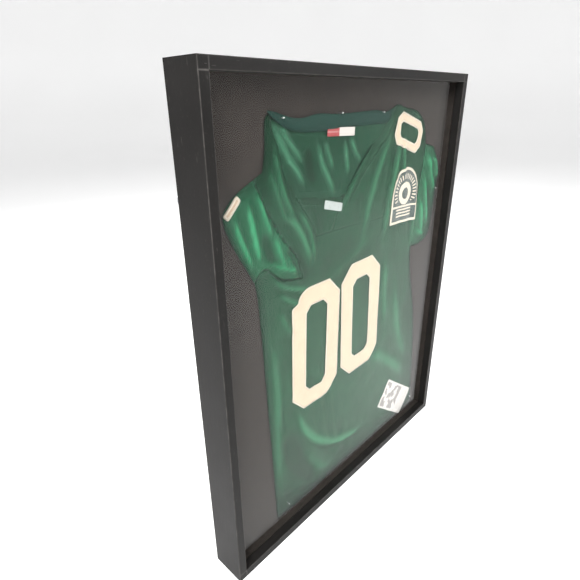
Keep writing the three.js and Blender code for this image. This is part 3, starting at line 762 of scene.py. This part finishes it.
def settling_wall(y, depth):
    """A thin wall that fills the display area from y on, for the cloth to lie against."""
    bm = bmesh.new()
    bmesh.ops.create_cube(bm, size=1.0)
    bmesh.ops.scale(bm, vec=(2 * JAMB, abs(depth), SIGHT_H), verts=bm.verts)
    bmesh.ops.translate(bm, vec=(0, y + depth / 2, (LINTEL + SILL) / 2), verts=bm.verts)
    wall = placed("settling_wall", mesh_from(bm, "settling_wall"))
    wall.modifiers.new("Collision", "COLLISION")
    wall.collision.thickness_outer = 0.3 * MM
    return wall


SETTLE_FRAMES = 14
SETTLE_CAP = 1.1 * MM  # the furthest that a point moves, so that the folds stay


def settle(obj, hold):
    """Lets the cloth sag between its fixings, with the felt behind it and the glazing before it."""
    mesh = obj.data
    start = [v.co.copy() for v in mesh.vertices]
    group = obj.vertex_groups.new(name="held")
    for i, weight in enumerate(hold):
        if weight > 0:
            group.add([i], weight, "REPLACE")
    walls = [settling_wall(CLOTH_BACK + 1.2 * MM, 2 * MM),
             settling_wall(CLOTH_FRONT - 2.6 * MM, -2 * MM)]
    cloth = obj.modifiers.new("Settle", "CLOTH")
    s = cloth.settings
    s.quality = 6
    s.mass = 0.12
    s.tension_stiffness = 30
    s.compression_stiffness = 12
    s.shear_stiffness = 8
    s.bending_stiffness = 0.6
    s.air_damping = 4
    s.vertex_group_mass = "held"
    s.pin_stiffness = 1.0
    cloth.collision_settings.use_collision = True
    cloth.collision_settings.distance_min = 0.4 * MM
    cloth.collision_settings.use_self_collision = False
    cloth.point_cache.frame_start = 1
    cloth.point_cache.frame_end = SETTLE_FRAMES
    scene = bpy.context.scene
    for step in range(1, SETTLE_FRAMES + 1):
        scene.frame_set(step)
    settled = obj.evaluated_get(bpy.context.evaluated_depsgraph_get())
    moved = [v.co.copy() for v in settled.data.vertices]
    obj.modifiers.remove(cloth)
    scene.frame_set(1)
    for wall in walls:
        bpy.data.objects.remove(wall)
    for v, a, b in zip(mesh.vertices, start, moved):
        step = b - a
        if step.length > SETTLE_CAP:
            step *= SETTLE_CAP / step.length
        v.co = a + step
        v.co.y = min(max(v.co.y, CLOTH_FRONT - 0.6 * MM), CLOTH_BACK - 0.1 * MM)
    obj.vertex_groups.remove(group)
    mesh.update()


EDGE_HOLD = 14 * MM
PIN_REACH = 30 * MM


def jersey_hold(body):
    """How firmly each point of the jersey is held: at its fixings, and a little along its edge."""
    fixings = [spot(*place) for place in FIXINGS]
    hold = []
    for v, rim in zip(body.data.vertices, body.data.attributes["rim"].data):
        near = min((Vector((v.co.x, v.co.z)) - f).length for f in fixings)
        along_edge = 0.25 * ease(1 - rim.value / EDGE_HOLD)
        hold.append(max(along_edge, ease(1.2 - near / PIN_REACH), 0.02))
    return hold


class Surface:
    """The jersey's front after settling, so that patches can lie on it."""
    tree = None

    @classmethod
    def take(cls, objects):
        verts, faces = [], []
        for obj in objects:
            base = len(verts)
            verts += [v.co.copy() for v in obj.data.vertices]
            faces += [[base + i for i in f.vertices] for f in obj.data.polygons]
        cls.tree = BVHTree.FromPolygons(verts, faces)

    @classmethod
    def front(cls, x, z):
        """How far forward the cloth stands at a place, or at its nearest point beside its edge."""
        hit = cls.tree.ray_cast(Vector((x, GLASS_BACK, z)), Vector((0, 1, 0)))
        if hit[0]:
            return hit[0].y
        near = cls.tree.find_nearest(Vector((x, CLOTH_FRONT, z)))
        return near[0].y


def split_off(obj, region, name, material, node):
    """Moves the faces whose middle lies in a region to a piece of their own, joined at its seam."""
    mesh = obj.data.copy()
    for keep, target in ((False, obj.data), (True, mesh)):
        bm = bmesh.new()
        bm.from_mesh(target)
        drop = []
        for f in bm.faces:
            c = f.calc_center_median()
            if inside(region, Vector((c.x, c.z))) != keep:
                drop.append(f)
        bmesh.ops.delete(bm, geom=drop, context="FACES")
        bm.to_mesh(target)
        bm.free()
    piece = placed(name, mesh)
    mesh.name = name
    mesh.materials.clear()
    mesh.materials.append(material)
    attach(piece, CASE)
    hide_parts(node)
    return piece


def declare_sheet(obj):
    """Works out the width and height of a sheet's flat layout, before any fold is raised, and keeps
    neither.
    """
    places = [corner.uv.copy() for corner in obj.data.uv_layers["flat"].data]
    xs, ys = [p.x for p in places], [p.y for p in places]
    max(xs) - min(xs)
    max(ys) - min(ys)


# ---------------------------------------------------------------- patches

CHEST_W, CHEST_H = 0.4 * JAMB, 0.305 * SIGHT_H
SHOULDER_W, SHOULDER_H = 0.19 * JAMB, 0.125 * SIGHT_H
BADGE_W = 0.3 * JAMB
TAG_W, TAG_H = 0.225 * JAMB, 0.174 * SIGHT_H
LABEL_W, LABEL_H = 0.22 * JAMB, 13 * MM
STICKER_W, STICKER_H = 46 * MM, 14 * MM


def block_ring(width, height, corner):
    w, h, c = width / 2, height / 2, corner
    return [Vector(p) for p in ((-w + c, -h), (w - c, -h), (w, -h + c), (w, h - c),
                                (w - c, h), (-w + c, h), (-w, h - c), (-w, -h + c))]


def numeral_rings(width, height, hole, strokes):
    """A block nought: its hole's width and its two strokes' height, as shares of its width."""
    return [block_ring(width, height, 0.24 * width),
            block_ring(hole * width, height - strokes * width, 0.09 * width)]


def arch_ring(width, height, steps=18):
    r = width / 2
    ring = [Vector((-r, 0)), Vector((r, 0))]
    for i in range(steps + 1):
        a = math.pi * i / steps
        ring.append(Vector((r * math.cos(a), height - r + r * math.sin(a))))
    return ring


def turned(ring, turn, at):
    c, s = math.cos(turn), math.sin(turn)
    return [Vector((at.x + c * p.x - s * p.y, at.y + s * p.x + c * p.y)) for p in ring]


def patch_piece(name, rings, turn, at, material, node,
                lift=0.5 * MM, thick=0.7 * MM, pitch=3.0 * MM, level=None):
    """A patch cut from a fine grid by its outline and holes, laid on the cloth or at a level."""
    laid = [turned(ring, turn, at) for ring in rings]
    outer, holes = laid[0], laid[1:]
    bm = bmesh.new()
    w = max((p - at).length for p in outer)
    count = max(4, round(2 * w / pitch))
    bmesh.ops.create_grid(bm, x_segments=count, y_segments=count, size=w)
    bmesh.ops.rotate(bm, cent=(0, 0, 0), matrix=Matrix.Rotation(turn, 3, "Z"), verts=bm.verts)
    bmesh.ops.translate(bm, vec=(at.x, at.y, 0), verts=bm.verts)
    for ring in laid:
        for a, b in zip(ring, ring[1:] + ring[:1]):
            normal = Vector((a.y - b.y, b.x - a.x, 0)).normalized()
            bmesh.ops.bisect_plane(bm, geom=bm.verts[:] + bm.edges[:] + bm.faces[:], dist=WELD,
                                   plane_co=(a.x, a.y, 0), plane_no=normal)
    away = []
    for f in bm.faces:
        c = f.calc_center_median().xy
        if not inside(outer, c) or any(inside(h, c) for h in holes):
            away.append(f)
    bmesh.ops.delete(bm, geom=away, context="FACES")
    bmesh.ops.dissolve_degenerate(bm, edges=bm.edges, dist=0.05 * MM)
    flat = bm.loops.layers.uv.new("flat")
    rim_layer = bm.verts.layers.float.new("rim")
    run_layer = bm.verts.layers.float.new("run")
    lines = [ring + ring[:1] for ring in laid]
    for v in bm.verts:
        distance, run, _ = min((nearest_on(line, v.co.xy) for line in lines), key=lambda f: f[0])
        v[rim_layer] = distance
        v[run_layer] = run
    back = Matrix.Rotation(-turn, 2)
    for f in bm.faces:
        for loop in f.loops:
            loop[flat].uv = back @ (loop.vert.co.xy - at)

    def rest(x, z):
        return Surface.front(x, z) if level is None else level

    stand_up(bm, lambda v, p: rest(p.x, p.y))
    for _ in range(4):
        bmesh.ops.smooth_vert(bm, verts=[v for v in bm.verts if not v.is_boundary], factor=0.5,
                              use_axis_x=False, use_axis_y=True, use_axis_z=False)
    for v in bm.verts:
        v.co.y = min(v.co.y, rest(v.co.x, v.co.z)) - lift
    thicken(finish_mesh(name, bm, material, node), thick)


# ---------------------------------------------------------------- settings

def color_prop(name, description, default):
    return bpy.props.FloatVectorProperty(
        name=name, description=description, subtype="COLOR", size=3, min=0, max=1, default=default)


def share_prop(name, description, default, top=1.0):
    return bpy.props.FloatProperty(
        name=name, description=description, min=0, max=top, default=default)


def power_prop(name, description, default):
    return bpy.props.FloatProperty(
        name=name, description=description, unit="POWER", min=0, default=default)


class JerseyFrameCase(bpy.types.PropertyGroup):
    """The case: moulding, glazing, lining and backing."""
    paint: color_prop("Paint", "Satin black of the moulding", (0.0075, 0.0070, 0.0066))
    rubbed: color_prop(
        "Rubbed edge", "Tone of the arrises where the paint is thin", (0.16, 0.15, 0.14))
    dust: color_prop("Dust", "Tone of dust specks on the paint", (0.028, 0.026, 0.024))
    wear: share_prop("Wear", "How much of the arrises has rubbed through", 0.55)
    felt: color_prop("Felt", "Charcoal felt lining", (0.026, 0.0215, 0.019))
    glass_tint: color_prop(
        "Glazing tint", "Colour that passes through the glazing", (0.985, 0.985, 0.98))
    reflect: share_prop("Glazing reflection", "Mirror of one face seen square on", 0.010)
    backing: color_prop("Back panel", "Brown of the hardboard back", (0.17, 0.085, 0.042))
    filler: color_prop("Filler card", "Colour of the filler board", (0.42, 0.29, 0.17))
    zinc: color_prop("Zinc plate", "Buttons and hangers", (0.72, 0.73, 0.74))


class JerseyFrameCloth(bpy.types.PropertyGroup):
    """The jersey: knit, collar, twill and labels."""
    green: color_prop("Jersey green", "Green of the knit", (0.005, 0.043, 0.019))
    sleeve_green: color_prop("Sleeve green", "Green of the glossier sleeves", (0.007, 0.088, 0.038))
    inner_green: color_prop(
        "Inside green", "Green of the inside of the back", (0.009, 0.045, 0.024))
    collar_green: color_prop("Collar green", "Green of the ribbed collar", (0.004, 0.036, 0.028))
    sheen: color_prop("Sheen", "Tint of the cloth's highlights", (0.42, 0.95, 0.62))
    cloth_roughness: share_prop("Cloth roughness", "Spread of the cloth's highlights", 0.29)
    cream: color_prop("Numeral", "Cream twill of the numerals", (0.63, 0.475, 0.335))
    thread: color_prop("Border thread", "Satin stitch round the numerals", (0.70, 0.62, 0.50))
    border_width: bpy.props.FloatProperty(
        name="Border width", description="Width of the stitched border", unit="LENGTH",
        min=0.001, max=0.01, default=0.0034)
    pitch: bpy.props.FloatProperty(
        name="Cloth mesh", description="Grid size of the cloth", unit="LENGTH",
        min=0.003, max=0.02, default=0.0046)
    loft: bpy.props.FloatProperty(
        name="Loft", description="How far the laid jersey rises over its edge", unit="LENGTH",
        min=0, max=0.01, default=0.0019)


class JerseyFrameStage(bpy.types.PropertyGroup):
    """Floor, lamps and camera."""
    floor: color_prop("Floor", "Pale studio floor", (0.83, 0.83, 0.83))
    key: power_prop("Key lamp", "Main softbox", 92)
    fill: power_prop("Fill lamp", "Second softbox", 40)
    back: power_prop("Back lamp", "Softbox behind", 26)
    top: power_prop("Overhead lamp", "Wide softbox above", 230)
    sky: share_prop("Sky", "Strength of the even light from all sides", 0.13, 5.0)
    lens: bpy.props.FloatProperty(
        name="Lens", description="Focal length in mm on a 36 mm sensor",
        min=10, max=200, default=27.65)
    azimuth: bpy.props.FloatProperty(
        name="Azimuth", description="Side that the camera looks from", subtype="ANGLE",
        default=math.radians(-46.2))
    elevation: bpy.props.FloatProperty(
        name="Elevation", description="Height of the camera's look", subtype="ANGLE",
        default=math.radians(22.9))
    roll: bpy.props.FloatProperty(
        name="Roll", description="Turn of the camera about its look", subtype="ANGLE",
        default=math.radians(-0.8))
    eye: bpy.props.FloatVectorProperty(
        name="Camera place", description="Where the camera stands", subtype="XYZ", unit="LENGTH",
        default=(-0.6374, -0.4553, 0.7658))


# ---------------------------------------------------------------- operators

class JERSEYFRAME_OT_moulding(bpy.types.Operator):
    """Finishes the four lengths of moulding and their corner nails"""
    bl_idname = "jerseyframe.moulding"
    bl_label = "Moulding"

    def execute(self, context):
        props = context.scene.jersey_case
        for name, upright in (("frame_rail_bottom", False), ("frame_rail_top", False),
                              ("frame_stile_left", True), ("frame_stile_right", True)):
            dress(name, satin_black(props, upright))
        dress_all(plated("nail_steel", (0.56, 0.56, 0.57), 0.35), "corner_nail")
        return {"FINISHED"}


class JERSEYFRAME_OT_glazing(bpy.types.Operator):
    """Finishes the clear acrylic sheet"""
    bl_idname = "jerseyframe.glazing"
    bl_label = "Glazing"

    def execute(self, context):
        dress("glazing_sheet", clear_glazing(context.scene.jersey_case))
        return {"FINISHED"}


class JERSEYFRAME_OT_lining(bpy.types.Operator):
    """Finishes the felt, the spacers and the boards behind the jersey"""
    bl_idname = "jerseyframe.lining"
    bl_label = "Lining and backing"

    def execute(self, context):
        props = context.scene.jersey_case
        dress_all(speckled_felt(props), "spacer", "board_felt")
        dress("display_board", paper_core("foam_board", (0.022, 0.022, 0.022)))
        dress("filler_board", paper_core("corrugated_card", props.filler, True))
        dress("back_panel", pressed_hardboard(props.backing))
        return {"FINISHED"}


class JERSEYFRAME_OT_jersey(bpy.types.Operator):
    """Lays the jersey's front and sleeves as one cloth, settles it and parts it at its seams"""
    bl_idname = "jerseyframe.jersey"
    bl_label = "Jersey front and sleeves"

    def execute(self, context):
        props = context.scene.jersey_cloth
        outline = closed_outline(JERSEY_SIDES)
        armholes = [smooth_line(line) for line in ARMHOLES]
        seams = armholes + [smooth_line(line) for line in OTHER_SEAMS]
        bm = cloth_grid(outline, props.pitch, armholes)
        mark_cloth(bm, outline, seams)
        folds = prepared(FOLDS)
        rim_layer = bm.verts.layers.float["rim"]
        seam_layer = bm.verts.layers.float["seam"]
        swell_layer = bm.verts.layers.float["swell"]

        top = CLOTH_BACK - CLOTH_FRONT - 0.4 * MM
        knee = 0.7 * top  # above it, folds are pressed together under the glazing

        def height(v, p):
            loft = props.loft * (1 - math.exp(-v[rim_layer] / EDGE_ROLL))
            swell = crumple(p, 9, 2.0 * MM, 3.1) + crumple(p, 26, 0.9 * MM, 8.4)
            pull = SEAM_PULL * math.exp(-(v[seam_layer] / SEAM_REACH) ** 2)
            swell *= min(1.0, v[rim_layer] / CRUMPLE_EDGE)
            rise = max(0.0, loft + swell + fold_height(folds, p) - pull)
            # The rise is kept as swell, which the knit material uses to paint shade in the fold
            # hollows and highlights on the fold ridges.
            v[swell_layer] = rise / top
            if rise > knee:
                rise = top - 0.3 * top * math.exp((knee - rise) / (0.3 * top))
            return CLOTH_BACK - 0.7 * MM - rise

        stand_up(bm, height)
        knit = jersey_satin("jersey_knit", props.green, props, gloss=0.9, holes=0.35)
        body = finish_mesh("jersey_front", bm, knit, "jersey_body")
        settle(body, jersey_hold(body))
        shiny = jersey_satin("jersey_sleeve_knit", props.sleeve_green, props, gloss=1.25)
        pieces = [body]
        for name, region, node in (
                ("jersey_left_sleeve", LEFT_SLEEVE_REGION, "jersey_sleeve_left"),
                ("jersey_right_sleeve", RIGHT_SLEEVE_REGION, "jersey_sleeve_right")):
            outline = closed_outline(region)
            pieces.append(split_off(body, outline, name, shiny, node))
        Surface.take(pieces)
        for piece in pieces:
            thicken(piece, CLOTH_T, -1.0)
            declare_sheet(piece)
        return {"FINISHED"}


class JERSEYFRAME_OT_inner_back(bpy.types.Operator):
    """Lays the inside of the jersey's back, seen through the neck"""
    bl_idname = "jerseyframe.inner_back"
    bl_label = "Inside of the back"

    def execute(self, context):
        props = context.scene.jersey_cloth
        outline = closed_outline(BACK_SIDES)
        bm = cloth_grid(outline, 4 * MM)
        mark_cloth(bm, outline, [])
        folds = prepared(BACK_FOLDS)
        rim_layer = bm.verts.layers.float["rim"]
        swell_layer = bm.verts.layers.float["swell"]
        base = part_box("jersey_back_inside")[1].y

        def height(v, p):
            rise = 0.5 * MM + crumple(p, 16, 0.9 * MM, 5.2) + fold_height(folds, p)
            # The rise, kept as swell, paints shade where the inside lies low and highlights on its
            # fold ridges.
            v[swell_layer] = 0.25 + rise / (4 * MM)
            rise = max(0.0, min(rise, 3.2 * MM)) * ease(v[rim_layer] / (14 * MM) + 0.15)
            return base - 0.3 * MM - rise

        stand_up(bm, height)
        knit = jersey_satin("jersey_inside", props.inner_green, props, gloss=1.1)
        piece = finish_mesh("jersey_inner_back", bm, knit, "jersey_back_inside")
        thicken(piece, 0.5 * MM)
        declare_sheet(piece)
        return {"FINISHED"}


class JERSEYFRAME_OT_collar(bpy.types.Operator):
    """Makes the ribbed collar band that crosses the back of the neck"""
    bl_idname = "jerseyframe.collar"
    bl_label = "Collar band"

    def execute(self, context):
        props = context.scene.jersey_cloth
        outline = closed_outline([COLLAR_TOP, COLLAR_FOOT])
        bm = cloth_grid(outline, 3 * MM)
        mark_cloth(bm, outline, [])
        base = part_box("jersey_collar")[1].y
        rim_layer = bm.verts.layers.float["rim"]

        def height(v, p):
            bulge = 2.6 * MM * math.sqrt(max(0.0, min(1.0, v[rim_layer] / (9 * MM))))
            return base - 3.3 * MM - bulge - crumple(p, 30, 0.6 * MM, 1.7)

        stand_up(bm, height)
        piece = finish_mesh("jersey_collar_band", bm, collar_knit(props), "jersey_collar")
        thicken(piece, 0.9 * MM, -1.0)
        declare_sheet(piece)
        return {"FINISHED"}


class JERSEYFRAME_OT_numerals(bpy.types.Operator):
    """Sews on the block numerals: the chest pair and one on each shoulder"""
    bl_idname = "jerseyframe.numerals"
    bl_label = "Numerals"

    def execute(self, context):
        props = context.scene.jersey_cloth
        cream = numeral_twill(props)
        chest = numeral_rings(CHEST_W, CHEST_H, 0.44, 0.56)
        for side, at, turn in (("left", (-0.328, 0.445), -0.01), ("right", (0.098, 0.457), 0.03)):
            patch_piece("chest_numeral_" + side, chest, turn, spot(*at), cream,
                        "numeral_chest_" + side, pitch=4 * MM)
        patch_piece("shoulder_numeral_right", numeral_rings(SHOULDER_W, SHOULDER_H, 0.46, 0.54),
                    -1.86, spot(0.515, 0.886), cream, "numeral_shoulder_right")
        stroke = [block_ring(0.17 * SHOULDER_W, 0.35 * SHOULDER_H, 1.5 * MM)]
        patch_piece("shoulder_numeral_left", stroke, -0.79, spot(-0.872, 0.797), cream,
                    "numeral_shoulder_left", pitch=2 * MM)
        return {"FINISHED"}


class JERSEYFRAME_OT_badge(bpy.types.Operator):
    """Sews on the plain arched badge"""
    bl_idname = "jerseyframe.badge"
    bl_label = "Arched badge"

    def execute(self, context):
        props = context.scene.jersey_cloth
        low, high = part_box("sleeve_badge")
        foot = Vector(((low.x + high.x) / 2 - 0.023 * BADGE_W, low.z + 0.02 * BADGE_W))
        patch_piece("arched_badge", [arch_ring(BADGE_W, 1.15 * BADGE_W)], -0.04, foot,
                    badge_embroidery(props, BADGE_W), "sleeve_badge", pitch=2.5 * MM)
        return {"FINISHED"}


class JERSEYFRAME_OT_labels(bpy.types.Operator):
    """Adds the hem tag, the neck label and the small sticker, all blank"""
    bl_idname = "jerseyframe.labels"
    bl_label = "Tag, label and sticker"

    def execute(self, context):
        patch_piece("hem_woven_tag", [block_ring(TAG_W, TAG_H, 1.2 * MM)], 0.93,
                    spot(0.629, 0.093), tag_weave(TAG_H), "hem_tag")
        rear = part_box("neck_label")[1].y
        patch_piece("neck_woven_label", [block_ring(LABEL_W, LABEL_H, 0.8 * MM)], -0.03,
                    spot(-0.156, 0.903), neck_weave(LABEL_W), "neck_label",
                    pitch=2.5 * MM, level=rear - 0.2 * MM, thick=0.4 * MM)
        patch_piece("neck_sticker", [block_ring(STICKER_W, STICKER_H, 0.6 * MM)], -0.25,
                    spot(-0.2, 0.757), silver_foil(), "front_sticker",
                    pitch=2.5 * MM, lift=0.3 * MM, thick=0.15 * MM)
        return {"FINISHED"}


class JERSEYFRAME_OT_hardware(bpy.types.Operator):
    """Finishes the pins, turn buttons, screws, hangers and bumpers"""
    bl_idname = "jerseyframe.hardware"
    bl_label = "Pins and rear hardware"

    def execute(self, context):
        props = context.scene.jersey_case
        dress_all(plated("screw_steel", (0.62, 0.62, 0.63), 0.3),
                  "pin_", "button_screw", "hanger_screw")
        dress_all(plated("zinc_plate", props.zinc, 0.34),
                  "turn_button", "hanger_strap", "hanger_ring")
        dress_all(soft_rubber(), "wall_bumper")
        return {"FINISHED"}


class JERSEYFRAME_OT_stage(bpy.types.Operator):
    """Sets the floor, the soft lamps and the camera"""
    bl_idname = "jerseyframe.stage"
    bl_label = "Floor, lamps and camera"

    def execute(self, context):
        props = context.scene.jersey_stage
        floor = studio_floor(props)
        world = bpy.data.worlds.new("studio_world")
        world.use_nodes = True
        sky = world.node_tree.nodes["Background"]
        sky.inputs[0].default_value = (1, 1, 1, 1)
        sky.inputs[1].default_value = props.sky
        context.scene.world = world
        middle = Vector((0, 0, CASE_H / 2))
        softbox("key_lamp", Vector((-1.9, -0.9, 1.9)), middle, 0.9, props.key)
        softbox("fill_lamp", Vector((2.0, -1.9, 1.75)), middle, 0.8, props.fill)
        softbox("back_lamp", Vector((0.6, 2.2, 2.0)), middle, 1.6, props.back)
        softbox("overhead_lamp", Vector((0, -0.6, 4.2)), Vector((0, -0.6, 0)), 5.5, props.top)
        context.scene.view_settings.view_transform = "Standard"
        data = bpy.data.cameras.new("studio_camera")
        data.sensor_width = 36
        data.lens = props.lens
        data.clip_start = 0.01
        camera = placed("studio_camera", data)
        a, e = props.azimuth, props.elevation
        back = Vector((math.sin(a) * math.cos(e), -math.cos(a) * math.cos(e), math.sin(e)))
        camera.rotation_mode = "QUATERNION"
        look = (-back).to_track_quat("-Z", "Y")
        camera.rotation_quaternion = look @ Quaternion((0, 0, 1), props.roll)
        camera.location = props.eye
        context.scene.camera = camera
        return {"FINISHED"}


def dress(name, material):
    """Gives a CAD node its finish."""
    mesh = NODES[name].data
    mesh.materials.clear()
    mesh.materials.append(material)


def dress_all(material, *starts):
    """Gives one finish to all CAD nodes whose names start so."""
    for name in NODES:
        if name.startswith(starts):
            dress(name, material)


def softbox(name, at, target, size, power):
    data = bpy.data.lights.new(name, "AREA")
    data.shape = "SQUARE"
    data.size = size
    data.energy = power
    lamp = placed(name, data)
    lamp.location = at
    lamp.rotation_euler = (target - at).to_track_quat("-Z", "Y").to_euler()


def studio_floor(props):
    """A wide pale floor that curves up into a low wall all round."""
    bm = bmesh.new()
    profile = [(0.02, 0.0), (3.0, 0.0), (6.0, 0.0), (7.2, 0.12),
               (8.0, 0.6), (8.3, 1.4), (8.4, 2.6), (8.4, 6.5)]
    verts = [bm.verts.new((x, 0, z)) for x, z in profile]
    edges = [bm.edges.new(pair) for pair in zip(verts, verts[1:])]
    bmesh.ops.spin(bm, geom=verts + edges, cent=(0, 0, 0), axis=(0, 0, 1),
                   angle=2 * math.pi, steps=64, use_merge=True)
    hole = [e for e in bm.edges if e.is_boundary and e.verts[0].co.length < 0.1]
    bmesh.ops.edgeloop_fill(bm, edges=hole)
    bmesh.ops.remove_doubles(bm, verts=bm.verts, dist=1e-5)
    bmesh.ops.recalc_face_normals(bm, faces=bm.faces)
    bmesh.ops.translate(bm, vec=(0, 0, -0.2 * MM), verts=bm.verts)
    mesh = mesh_from(bm, "studio_floor")
    smooth_faces(mesh)
    r = Recipe("pale_floor", props.floor, 0.85)
    cloud = r.noise(1.4, 3, 0.5)
    r.color(r.blend(r.span(cloud, 0.3, 0.7), props.floor, toned(props.floor, 0.97)))
    r.set(Specular_IOR_Level=0.1, Emission_Color=(1, 1, 1, 1), Emission_Strength=0.26)
    mesh.materials.append(r.material)
    return placed("studio_floor", mesh)


def badge_embroidery(props, width):
    """Embroidered badge: pale border, dark field, rays, a hoop and a plinth, no lettering."""
    r = Recipe("badge_embroidery", props.cream, 0.6)
    flat = r.flat()
    x, z, _ = r.axes(flat)
    rim, run = r.attribute("rim"), r.attribute("run")
    middle = 0.62 * width
    dz = r.math("SUBTRACT", z, middle)
    reach = r.math("SQRT", r.math("ADD", r.times(x, x), r.times(dz, dz)))
    angle = r.math("ARCTAN2", dz, x)
    ray = r.below(r.part(angle, 5.1), 0.42)
    ring = r.times(r.above(reach, 0.30 * width), r.below(reach, 0.405 * width))
    above = r.above(z, 0.44 * width)
    rays = r.times(ray, ring, above)
    disc = r.below(reach, 0.235 * width)
    core = r.below(reach, 0.12 * width)
    hoop = r.math("SUBTRACT", disc, core, clamp=True)
    plinth = r.times(r.below(z, 0.30 * width), r.above(z, 0.10 * width))
    bars = r.times(plinth, r.below(r.part(z, 15.0 / width), 0.5))
    bars = r.times(bars, r.below(r.math("ABSOLUTE", x), 0.30 * width))
    band = r.times(r.below(z, 0.37 * width), r.above(z, 0.33 * width))
    figure = r.most(rays, hoop, bars, band)
    border = r.span(rim, 0.050 * width, 0.056 * width, 1.0, 0.0)
    pale = r.most(figure, border)
    stitches = r.waves(1300, flat, turn=(0, 0, 0.4))
    cord = r.times(r.part(run, CORDS), border)
    field = r.blend(r.span(stitches, 0.2, 0.7, 0.5, 0.0),
                    (0.020, 0.048, 0.040), (0.010, 0.022, 0.018))
    thread = r.blend(r.span(stitches, 0.1, 0.6, 0.35, 0.0), props.thread, toned(props.thread, 0.7))
    r.color(r.blend(pale, field, thread))
    r.bump((stitches, 0.00012), (pale, 0.0005), (cord, 0.0002))
    r.rough(r.span(stitches, 0.2, 0.8, 0.5, 0.66))
    r.set(Sheen_Weight=0.3, Sheen_Roughness=0.4)
    return r.material


def tag_weave(height):
    """Woven tag: a toned upper panel with soft shapes and a pale, ruled foot, no lettering."""
    r = Recipe("tag_weave", (0.78, 0.77, 0.73), 0.55)
    flat = r.flat()
    z = r.axes(flat)[1]
    rim = r.attribute("rim")
    weft = r.waves(1100, flat, direction="Y")
    warp = r.waves(1500, flat, direction="X")
    blot = r.noise(46, 2, 0.5, flat)
    panel = r.times(r.above(z, -0.13 * height), r.above(rim, 5 * MM))
    shape = r.times(panel, r.span(blot, 0.47, 0.50))
    tone = r.blend(r.times(shape, 0.75), (0.66, 0.63, 0.60), (0.13, 0.115, 0.11))
    line = r.most(near_plane(r, z, -0.16 * height, 0.9 * MM), near_plane(r, rim, 3 * MM, 0.5 * MM))
    tone = r.blend(r.times(line, 0.6), tone, (0.30, 0.30, 0.30))
    rule = r.below(r.part(z, 170.0), 0.3)
    foot = r.times(r.below(z, -0.20 * height), r.above(rim, 9 * MM))
    tone = r.blend(r.times(rule, foot, 0.55), tone, (0.28, 0.26, 0.25))
    tone = r.blend(r.span(weft, 0.1, 0.5, 0.18, 0.0), tone, (0.4, 0.4, 0.38))
    r.color(tone)
    r.bump((weft, 0.0001), (warp, 0.00007))
    r.rough(r.span(warp, 0.2, 0.8, 0.45, 0.62))
    return r.material


def neck_weave(width):
    """Neck label: a red block and a pale block, no lettering."""
    r = Recipe("neck_weave", (0.75, 0.73, 0.70), 0.5)
    flat = r.flat()
    x, z, _ = r.axes(flat)
    weft = r.waves(1300, flat, direction="Y")
    red = r.below(x, -0.08 * width)
    rule = r.times(near_plane(r, z, 0.0, 1.4 * MM), 0.4)
    tone = r.blend(red, (0.62, 0.58, 0.54), (0.34, 0.022, 0.026))
    tone = r.blend(rule, tone, (0.70, 0.66, 0.62))
    r.color(r.blend(r.span(weft, 0.1, 0.5, 0.25, 0.0), tone, (0.25, 0.2, 0.2)))
    r.bump((weft, 0.0001))
    r.rough(r.span(weft, 0.2, 0.8, 0.4, 0.58))
    return r.material


def silver_foil():
    """Silvery sticker with fine ruled lines."""
    r = Recipe("foil_sticker", (0.66, 0.69, 0.69), 0.3)
    flat = r.flat()
    rule = r.waves(260, flat, direction="X")
    haze = r.noise(160, 3, 0.6, flat)
    tone = r.blend(r.span(rule, 0.15, 0.4, 0.35, 0.0), (0.46, 0.50, 0.49), (0.20, 0.24, 0.23))
    r.color(r.blend(r.span(haze, 0.4, 0.7, 0, 0.3), tone, (0.55, 0.6, 0.58)))
    r.rough(r.span(haze, 0.3, 0.7, 0.24, 0.42))
    r.bump((haze, 0.00008))
    r.set(Metallic=0.55)
    return r.material


class JERSEYFRAME_PT_panel(bpy.types.Panel):
    """Sidebar panel that lists the steps"""
    bl_idname = "JERSEYFRAME_PT_panel"
    bl_label = "Jersey display frame"
    bl_space_type = "VIEW_3D"
    bl_region_type = "UI"
    bl_category = "Jersey frame"

    def draw(self, context):
        for step in STEPS:
            self.layout.operator(step.bl_idname)


STEPS = (
    JERSEYFRAME_OT_moulding, JERSEYFRAME_OT_glazing, JERSEYFRAME_OT_lining, JERSEYFRAME_OT_jersey,
    JERSEYFRAME_OT_inner_back, JERSEYFRAME_OT_collar, JERSEYFRAME_OT_numerals, JERSEYFRAME_OT_badge,
    JERSEYFRAME_OT_labels, JERSEYFRAME_OT_hardware, JERSEYFRAME_OT_stage,
)
SETTINGS = {
    "jersey_case": JerseyFrameCase,
    "jersey_cloth": JerseyFrameCloth,
    "jersey_stage": JerseyFrameStage,
}


def register():
    for group in SETTINGS.values():
        bpy.utils.register_class(group)
    for name, group in SETTINGS.items():
        setattr(bpy.types.Scene, name, bpy.props.PointerProperty(type=group))
    for step in STEPS:
        bpy.utils.register_class(step)
    bpy.utils.register_class(JERSEYFRAME_PT_panel)


def unregister():
    bpy.utils.unregister_class(JERSEYFRAME_PT_panel)
    for step in reversed(STEPS):
        bpy.utils.unregister_class(step)
    for name, group in SETTINGS.items():
        delattr(bpy.types.Scene, name)
        bpy.utils.unregister_class(group)


def main():
    """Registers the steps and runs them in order."""
    register()
    for step in STEPS:
        group, name = step.bl_idname.split(".")
        getattr(getattr(bpy.ops, group), name)()


if __name__ == "__main__":
    main()
